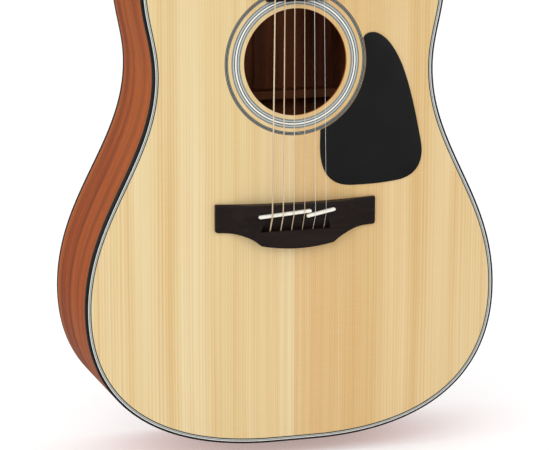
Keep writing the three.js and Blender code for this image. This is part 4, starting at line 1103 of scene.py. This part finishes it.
def section(half, depth, start, tilt, square, limit=1e9):
    """A neck section: flat in front, round behind, and squarer on the headstock."""
    turn = Matrix.Rotation(-tilt, 3, "X")
    power = 2 / square
    ring = []
    for angle in spread(0, math.pi, 40):
        x = half * math.copysign(abs(math.cos(angle)) ** power, math.cos(angle))
        y = min(depth * math.sin(angle) ** power, limit)
        ring.append(start + turn @ Vector((x, y, 0)))
    return ring


def head_half(z):
    """Half the headstock's width at a height in its own frame."""
    if z >= HEAD_TOP["height"]:
        rise = (z - HEAD_TOP["height"]) / (HEAD_LENGTH - HEAD_TOP["height"])
        return HEAD_TOP["half"] * math.sqrt(max(0, 1 - rise)) ** 1.15
    if z >= HEAD_SHOULDER["height"]:
        share = (z - HEAD_SHOULDER["height"]) / (HEAD_TOP["height"] - HEAD_SHOULDER["height"])
        return between(HEAD_SHOULDER["half"], HEAD_TOP["half"], share)
    ease = smooth(z / HEAD_SHOULDER["height"])
    return between(NUT_WIDTH / 2 - NECK_MARGIN, HEAD_SHOULDER["half"], ease)


def head_heights():
    """Heights above the headstock's shoulder that follow its outline, closer towards the crown."""
    heights = spread(HEAD_SHOULDER["height"], HEAD_TOP["height"], 12)[1:]
    crown = HEAD_LENGTH - HEAD_TOP["height"]
    return heights + [heights[-1] + crown * math.sin(t) for t in spread(0, math.pi / 2, 14)[1:-1]]


def head_outline(margin):
    heights = spread(margin, HEAD_SHOULDER["height"], 16) + head_heights()
    right = [Vector((head_half(z), z)) for z in heights]
    return right + [Vector((0, HEAD_LENGTH))] + mirrored(right)


def post_place(string):
    side = 1 if string <= 3 else -1
    height = POST_HEIGHTS[string - 1 if string <= 3 else 6 - string]
    return side, side * (head_half(height) - POST_INSET), height


def head_bores():
    tools = []
    for string in STRINGS:
        _, x, z = post_place(string)
        bore = moved(lathe([(HEAD_BORE, -20), (HEAD_BORE, 40)], 32), TO_Y)
        tools.append(moved(bore, Matrix.Translation((x, 0, z))))
    return tools


def make_neck():
    rings = []
    first = NUT_Z - HEAD_BEND
    heights = [HEEL_TOP * (k / 44) ** 1.1 for k in range(45)]
    heights += spread(HEEL_TOP, first - BODY_END_Z, 14)[1:]
    for out in heights:
        z = BODY_END_Z + out
        start = Vector((0, FRONT_Y, z))
        rings.append(section(board_half(z) - NECK_MARGIN, shaft_depth(z), start, 0, 2, HEEL_FACE))
    for t in spread(0, 1, 10)[1:]:
        z = between(first, HEAD_Z, t)
        ease = smooth(t)
        depth = between(shaft_depth(z), HEAD_BACK, ease)
        half = (board_half(z) if z < NUT_Z else NUT_WIDTH / 2) - NECK_MARGIN
        start = Vector((0, FRONT_Y, z))
        rings.append(section(half, depth, start, HEAD_TILT * ease, 2 + 0.5 * ease))
    heights = [0.3] + spread(0, HEAD_SHOULDER["height"], 8)[1:] + head_heights()
    for z in heights + [HEAD_LENGTH - 0.02]:
        start = HEAD @ Vector((0, HEAD_FACE, z))
        square = 2.5 + 12 * smooth(z / HEAD_SHOULDER["height"])
        rings.append(section(head_half(z), HEAD_BACK - HEAD_FACE, start, HEAD_TILT, square))
    half, length = TENON["half"], TENON["length"]
    tenon = block(-half, half, FRONT_Y + TENON["near"], FRONT_Y + TENON["far"], BODY_END_Z - length,
                  BODY_END_Z + 2)
    half, floor = ROD_SLOT["half"], FRONT_Y + ROD_SLOT["depth"]
    slot = block(-half, half, FRONT_Y - 1, floor, BODY_END_Z - length - 1, high("truss_rod").z + FIT)
    bores = [moved(bore, HEAD) for bore in head_bores()]
    whole = combined(loft(rings), [tenon], "UNION")
    piece("neck_carved", combined(whole, [*bores, slot]), NECK_WOOD, "neck_wood", ["neck"], sharp=42)


def make_headplate():
    holes = []
    for string in STRINGS:
        _, x, z = post_place(string)
        holes.append(circle(HEAD_BORE, 32, x, z))
    shape = slab(head_outline(0.4), at(0), at(HEADPLATE_THICKNESS), 0.4, 0, holes)
    piece("headplate_veneer", shape, HEAD_WOOD, "rosewood", ["headplate"], place=HEAD)


def make_heel_cap():
    edge = []
    for turn in spread(0, math.pi / 2, 24):
        z = BODY_END_Z + HEEL_REACH * 0.7 * math.sin(turn)
        cosine = math.sqrt(max(0, 1 - (HEEL_FACE / shaft_depth(z)) ** 2))
        edge.append(Vector((max(0.6, board_half(z) * cosine), z)))
    loop = edge + mirrored(edge)
    shape = slab(loop, at(-(FRONT_Y + NECK_END_DEPTH)), at(-(FRONT_Y + HEEL_FACE)), 0.5)
    flip = Matrix.Diagonal((1, -1, 1, 1))
    piece("heel_cap_plate", shape, BLACK_TRIM, "binding", ["heel_cap"], place=flip)


# ---------------------------------------------------------------- tuning machines


def superellipse(a, b, power, count, x=0.0, z=0.0):
    loop = []
    for k in range(count):
        turn = math.tau * k / count
        c, s = math.cos(turn), math.sin(turn)
        loop.append(Vector((x + a * math.copysign(abs(c) ** (2 / power), c),
                            z + b * math.copysign(abs(s) ** (2 / power), s))))
    return loop


def tuner_case_shape():
    """Die-cast housing: a thin foot, a body with rounded shoulders and a low cover."""
    middle_x, middle_z = (CASE["inner"] + CASE["outer"]) / 2, (CASE["low"] + CASE["high"]) / 2
    a, b = (CASE["outer"] - CASE["inner"]) / 2, (CASE["high"] - CASE["low"]) / 2
    levels = [(0, 0), (0, 1.1), (0.25, 1.35), (0.9, 1.5), (1.0, 1.8), (1.05, 6.4), (1.25, 7.4),
              (1.8, 8.3), (2.7, 9.0), (3.8, 9.3), (5.0, CASE["height"])]
    return loft([stood(superellipse(a - inset, b - inset, 5.5, 56, middle_x, middle_z), y)
                 for inset, y in levels])


def lug_shape():
    """The ear that the case is screwed down through."""
    reach = CASE["low"] - 3.4
    loop = points((4.2, CASE["low"] + 4), (3.4, reach))
    loop += bend(loop[-1], (3.2, reach - 2.4), (0.4, reach - 2.6), 6)
    loop += bend(loop[-1], (-2.6, reach - 2.4), (-2.8, reach), 6)
    loop.append(Vector((-3.6, CASE["low"] + 4)))
    return slab(loop, at(-1.4), at(0), 0.3)


def make_tuner(string):
    side, x, z = post_place(string)
    place = HEAD @ Matrix.Translation((x, CASE_SEAT, z)) @ Matrix.Diagonal((side, 1, 1, 1))
    level, below = WORM_AXIS["level"], WORM_AXIS["below"]

    lug = moved(lug_shape(), Matrix.Diagonal((1, -1, 1, 1)))
    sleeve = pipe([(SLEEVE_BORE, 1), (SLEEVE_BORE, -CASE_SEAT - 1.2),
                   (SLEEVE_BORE + 0.3, -CASE_SEAT - 1.5), (SLEEVE_RADIUS - 0.3, -CASE_SEAT - 1.5),
                   (SLEEVE_RADIUS, -CASE_SEAT - 1.2), (SLEEVE_RADIUS, 1)])
    boss = lathe([(3.9, 7.5), (3.9, 10.6), (3.6, 11.1), (2.6, 11.3)], 36)
    boss = moved(boss, Matrix.Translation((0, level, -below)) @ TO_X)
    cover = moved(lathe([(5.0, 8.6), (5.0, 9.75), (4.7, 10.0), (3.9, 10.0), (3.7, 9.8), (1.5, 9.8),
                         (1.3, 10.0), (0.5, 10.05)], 40), TO_Y)
    case = together(tuner_case_shape(), lug, moved(sleeve, TO_Y), boss, cover)

    def chrome(name, shape, *stands_for, where=place, **rest):
        piece(name, shape, CHROME, "chrome", stands_for, place=where, **rest)

    chrome(f"tuner_case_{string}_cast", case, f"tuner_case_{string}")

    head = lathe([(1.9, 1.3), (1.9, 1.9), (1.6, 2.3), (0.9, 2.5), (0.2, 2.55)], 28)
    screw = moved(cross_cut(head, 1.2, 0.2, (2.0, 3), 0.5 * string), TO_Y)
    spot = Matrix.Translation((0.3, 0, CASE["low"] - 3.0))
    chrome(f"tuner_screw_{string}", screw, where=place @ spot)

    washer_top = CASE_SEAT + 0.7
    washer = pipe([(SLEEVE_RADIUS, CASE_SEAT), (SLEEVE_RADIUS, washer_top), (7.0, washer_top),
                   (7.4, washer_top - 0.4), (7.4, CASE_SEAT)], 48)
    chrome(f"tuner_washer_{string}", moved(washer, TO_Y.inverted()))
    nut = hexagon_nut(washer_top, 2.4)
    chrome(f"tuner_bushing_{string}", moved(nut, TO_Y.inverted()))

    body = f"button_{string}"
    axis = Matrix.Translation((0, level, -below))
    stem = lathe([(SHAFT_RADIUS, 4), (SHAFT_RADIUS, 11.6), (2.9, 11.7), (3.1, 12.0), (3.1, 12.8),
                  (2.9, 13.1), (2.2, 13.3), (2.2, 14.6), (2.9, 16.2), (3.3, 18.4)], 36)
    stem = moved(stem, TO_X)
    chrome(f"tuner_button_{string}_cast", together(stem, button_grip()), f"tuner_button_{string}",
           where=place @ axis, body=body, sharp=50)
    cap = lathe([(2.0, 0), (2.0, 0.5), (1.7, 0.85), (0.8, 1.0), (0.2, 1.0)], 28)
    cap = combined(cap, [block(-2.5, 2.5, -0.25, 0.25, 0.6, 2)])
    tip = axis @ Matrix.Translation((BUTTON["far"] - 0.7, 0, 0)) @ TO_X
    chrome(f"button_screw_{string}", cap, where=place @ tip, body=body)

    make_post(string, place)


def hexagon_nut(base, height):
    """A threaded bushing: six flats with chamfered ends."""
    rings = []
    sides, half_across = 48, 5.5
    for radius, level in ((6.0, 0), (6.35, 0.35), (6.35, height - 0.5), (5.6, height)):
        ring = []
        for p in circle(1, sides):
            from_flat = math.atan2(p.y, p.x) % (math.pi / 3) - math.pi / 6
            ring.append(p * min(radius, half_across / math.cos(from_flat)))
        rings.append(laid(ring, base + level))
    inner = [laid(circle(SLEEVE_RADIUS, sides), base + level) for level in (height, 0)]
    return loft(rings + inner, closed=True)


def button_grip():
    """A pillow-shaped oval, a little hollow where the stem enters."""
    middle = (BUTTON["near"] + BUTTON["far"]) / 2
    a, b = (BUTTON["far"] - BUTTON["near"]) / 2, BUTTON["half"]
    rings = []
    for turn in spread(-math.pi / 2, math.pi / 2, 18)[1:-1]:
        share = math.cos(turn) ** 0.55
        y = BUTTON["thickness"] / 2 * math.copysign(abs(math.sin(turn)) ** 0.8, math.sin(turn))
        ring = []
        for p in superellipse(a * share, b * share, 2.3, 64):
            dent = 1.3 * math.exp(-(p.y / 3.2) ** 2) * (p.x < 0) * (-p.x / a)
            ring.append(Vector((middle + p.x + dent, y, p.y)))
        rings.append(ring)
    return loft(rings)


def string_look(string):
    return (PLAIN, "plain_string") if string <= 2 else (WOUND, "wound_string")


def make_post(string, place):
    """The post, with the string's coil and its cut end. Levels are from the headplate's face."""
    body = f"post_{string}"
    radius = STRING_RADII[string - 1]
    out = CASE_SEAT
    full, waist, rise = (POST[k] for k in ("radius", "waist", "rise"))
    levels = [(full, 2.2), (waist + 0.1, 3.4), (waist, 4.4), (waist, 8.8), (2.7, 10.2), (full, 11.2),
              (full, 12.3), (2.7, 12.85), (2.2, rise), (1.4, rise), (1.2, 12.6), (0.2, 12.5)]
    post = lathe([(full, -6)] + [(reach, out + level) for reach, level in levels], 40)
    through = moved(lathe([(0.85, -8), (0.85, 8)], 20), Matrix.Translation((0, 0, out + 9.6)) @ TO_X)
    post = moved(combined(post, [through]), TO_Y.inverted())
    piece(f"tuner_post_{string}_turned", post, CHROME, "chrome", [f"tuner_post_{string}"], body=body,
          place=place)
    turns = 2.0 if radius > 0.45 else 3.0
    reach = waist + radius
    start = out + 7.0
    coil = []
    for wound_on in spread(0, turns, int(turns * 28)):
        turn = math.pi - math.tau * wound_on
        lift = start - 2.1 * radius * wound_on
        coil.append(Vector((reach * math.cos(turn), -lift, reach * math.sin(turn))))
    finish, slot = string_look(string)
    piece(f"string_coil_{string}", tube(coil, radius, 12), finish, slot, body=body, place=place,
          sharp=80)
    end = points((-3.4, -(out + 9.6), 0), (3.2, -(out + 9.6), 0), (5.4, -(out + 9.4), 1.6))
    piece(f"string_tail_{string}", tube(eased(end, 1.2), min(radius, 0.7), 12), finish, slot, body=body,
          place=place, sharp=80)


# ---------------------------------------------------------------- strings


def saddle_crossing(string):
    a, b = points(*(SADDLE_SHORT if string <= 2 else SADDLE_LONG))
    return BRIDGE_Z + between(a.y, b.y, (string_x(string) - a.x) / (b.x - a.x))


def make_string(string):
    radius = STRING_RADII[string - 1]
    x = string_x(string)
    nut_x = string_x(string, NUT_STRING_SPACING)
    nut_y = FRONT_Y - NUT_SLOT_HEIGHT - radius
    side, post_x, post_z = post_place(string)
    wall, edge = BRIDGE_Z + RAMP["bottom"], BRIDGE_Z + BRIDGE["belly"]
    crown = FRONT_Y - SADDLE_HEIGHT - radius
    crossing = saddle_crossing(string)
    reach = POST["waist"] + radius
    stops = points(
        (x, FRONT_Y - HOLE_HEIGHT, edge + 6),
        (x, FRONT_Y - HOLE_HEIGHT, wall + 0.4),
        (x, crown, crossing - 1.2),
        (x, crown, crossing + 0.6),
        (nut_x, nut_y, NUT_Z + 0.5),
        (nut_x, nut_y, HEAD_Z - 0.5),
        HEAD @ Vector((post_x - side * reach, -7.0, post_z)),
    )
    finish, slot = string_look(string)
    shape = tube(eased(stops, 2.5), radius, 14)
    piece(f"string_{string}_wire", shape, finish, slot, [f"string_{string}"], sharp=80)
    spool = [(0.8, 0), (1.9, 0), (2.1, 0.3), (2.1, 0.8), (1.7, 1.2), (1.7, 2.6), (2.1, 3.0),
             (2.1, 3.5), (1.9, 3.8), (0.8, 3.8)]
    ball = moved(pipe(spool, 28), Matrix.Translation((x, FRONT_Y - HOLE_HEIGHT, edge + 4.6)))
    piece(f"ball_end_{string}", ball, BRASS, slot)


# ---------------------------------------------------------------- hidden framing and stage


def finish_cad(node, finish, bevel=0.4):
    """Keeps a CAD piece, with its edges eased and a proper material."""
    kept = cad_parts[node]
    kept.data.materials.clear()
    kept.data.materials.append(finish)
    weld = kept.modifiers.new("weld", "WELD")
    weld.merge_threshold = 0.00001
    edge = kept.modifiers.new("edge", "BEVEL")
    edge.width = bevel * MM
    edge.segments = 2
    edge.limit_method = "ANGLE"
    edge.angle_limit = math.radians(40)
    edge.harden_normals = True


def dress_inside():
    braces = ["x_brace_treble", "x_brace_bass", "transverse_brace", "tone_bar_upper", "tone_bar_lower"]
    for node in braces:
        finish_cad(node, BRACE_WOOD, 0.8)
    for node in ["back_strip"] + [f"back_brace_{k}" for k in (1, 2, 3, 4)]:
        finish_cad(node, BACK_BRACE_WOOD, 0.8)
    # Blocks and linings get the darker inside mahogany: painted shade inside the body.
    for node in ("neck_block", "tail_block", "top_lining", "back_lining"):
        finish_cad(node, SHADED_INSIDE_WOOD, 0.5)
    finish_cad("bridge_plate", BOARD_WOOD)
    finish_cad("truss_rod", ROD_STEEL, 0.3)
    finish_cad("truss_rod_nut", ROD_STEEL, 0.3)


# Brightness of the surroundings from straight down (0) through eye level (0.5) to straight up (1).
LIGHT_BY_HEIGHT = [(0.4, 0.6), (0.95, 0.86)]
REFLECTION_BY_HEIGHT = [(0.0, 0.2), (0.3, 0.2), (0.4, 0.12), (0.62, 0.16), (0.75, 0.75), (1.0, 1.0)]


def make_stage():
    reach, bottom, top = 14000, -30, -0.2
    mesh = new_mesh("floor", block(-reach, reach, -reach, reach, bottom, top))
    mesh.transform(Matrix.Scale(MM, 4))
    mesh.materials.append(floor_finish("floor"))
    floor = add_object("floor", mesh)
    floor.visible_glossy = False


def make_light(name, place, target, size, power):
    lamp = bpy.data.lights.new(name, "AREA")
    lamp.size = size
    lamp.energy = power
    made = add_object(name, lamp)
    made.location = place
    made.rotation_euler = (Vector(target) - Vector(place)).to_track_quat("-Z", "Y").to_euler()


def make_world():
    """Soft white surroundings. Reflections see a darker band at eye level, as in a studio."""
    world = bpy.data.worlds.new("studio")
    bpy.context.scene.world = world
    world.use_nodes = True
    nodes = Nodes(world.node_tree)
    place = nodes.node("TexCoord", {}).outputs["Generated"]
    height = nodes.node("MapRange", {"Value": nodes.axes(place)["Z"], "From Min": -1.0})
    shades = []
    for stops in (LIGHT_BY_HEIGHT, REFLECTION_BY_HEIGHT):
        ramp = nodes.node("ValToRGB", {"Fac": height.outputs["Result"]})
        for k, (level, value) in enumerate(stops):
            stop = ramp.color_ramp.elements[k] if k < 2 else ramp.color_ramp.elements.new(1)
            stop.position = level
            stop.color = (value, value, value, 1)
        shades.append(ramp.outputs["Color"])
    rays = nodes.node("LightPath", {}).outputs
    shade = nodes.mix(rays["Is Glossy Ray"], *shades)
    shade = nodes.mix(rays["Is Camera Ray"], shade, (1, 1, 1, 1))
    nodes.put(nodes.tree.nodes["Background"].inputs["Color"], shade)


def make_camera():
    camera = add_object("camera", bpy.data.cameras.new("camera"))
    heading = Matrix.Rotation(math.radians(-CAMERA["azimuth"]), 4, "Z")
    tilt = Matrix.Rotation(math.radians(90 - CAMERA["down"]), 4, "X")
    roll = Matrix.Rotation(math.radians(CAMERA["roll"]), 4, "Z")
    camera.matrix_world = Matrix.Translation(CAMERA["place"]) @ heading @ tilt @ roll
    camera.data.lens = LENS
    camera.data.sensor_width = 36
    camera.data.clip_start = 0.05
    bpy.context.scene.camera = camera
    bpy.context.scene.view_settings.view_transform = "Standard"


make_edges()
make_rims()
make_back()
make_soundboard()
make_rosette()
make_pickguard()
make_strap_button()
make_bridge()
make_saddles()
make_fingerboard()
make_frets()
make_dots()
make_nut()
make_neck()
make_headplate()
make_heel_cap()
for number in STRINGS:
    make_tuner(number)
    make_string(number)
dress_inside()
make_stage()
make_world()
make_light("key", place=(-1.6, -2.4, 1.9), target=(0, 0, 0.45), size=1.6, power=17.5)
make_light("fill", place=(2.2, -2.2, 1.2), target=(0, 0, 0.45), size=2.0, power=9)
make_light("side", place=(-2.6, -0.5, 0.9), target=(-0.1, 0, 0.3), size=1.6, power=14)
make_camera()
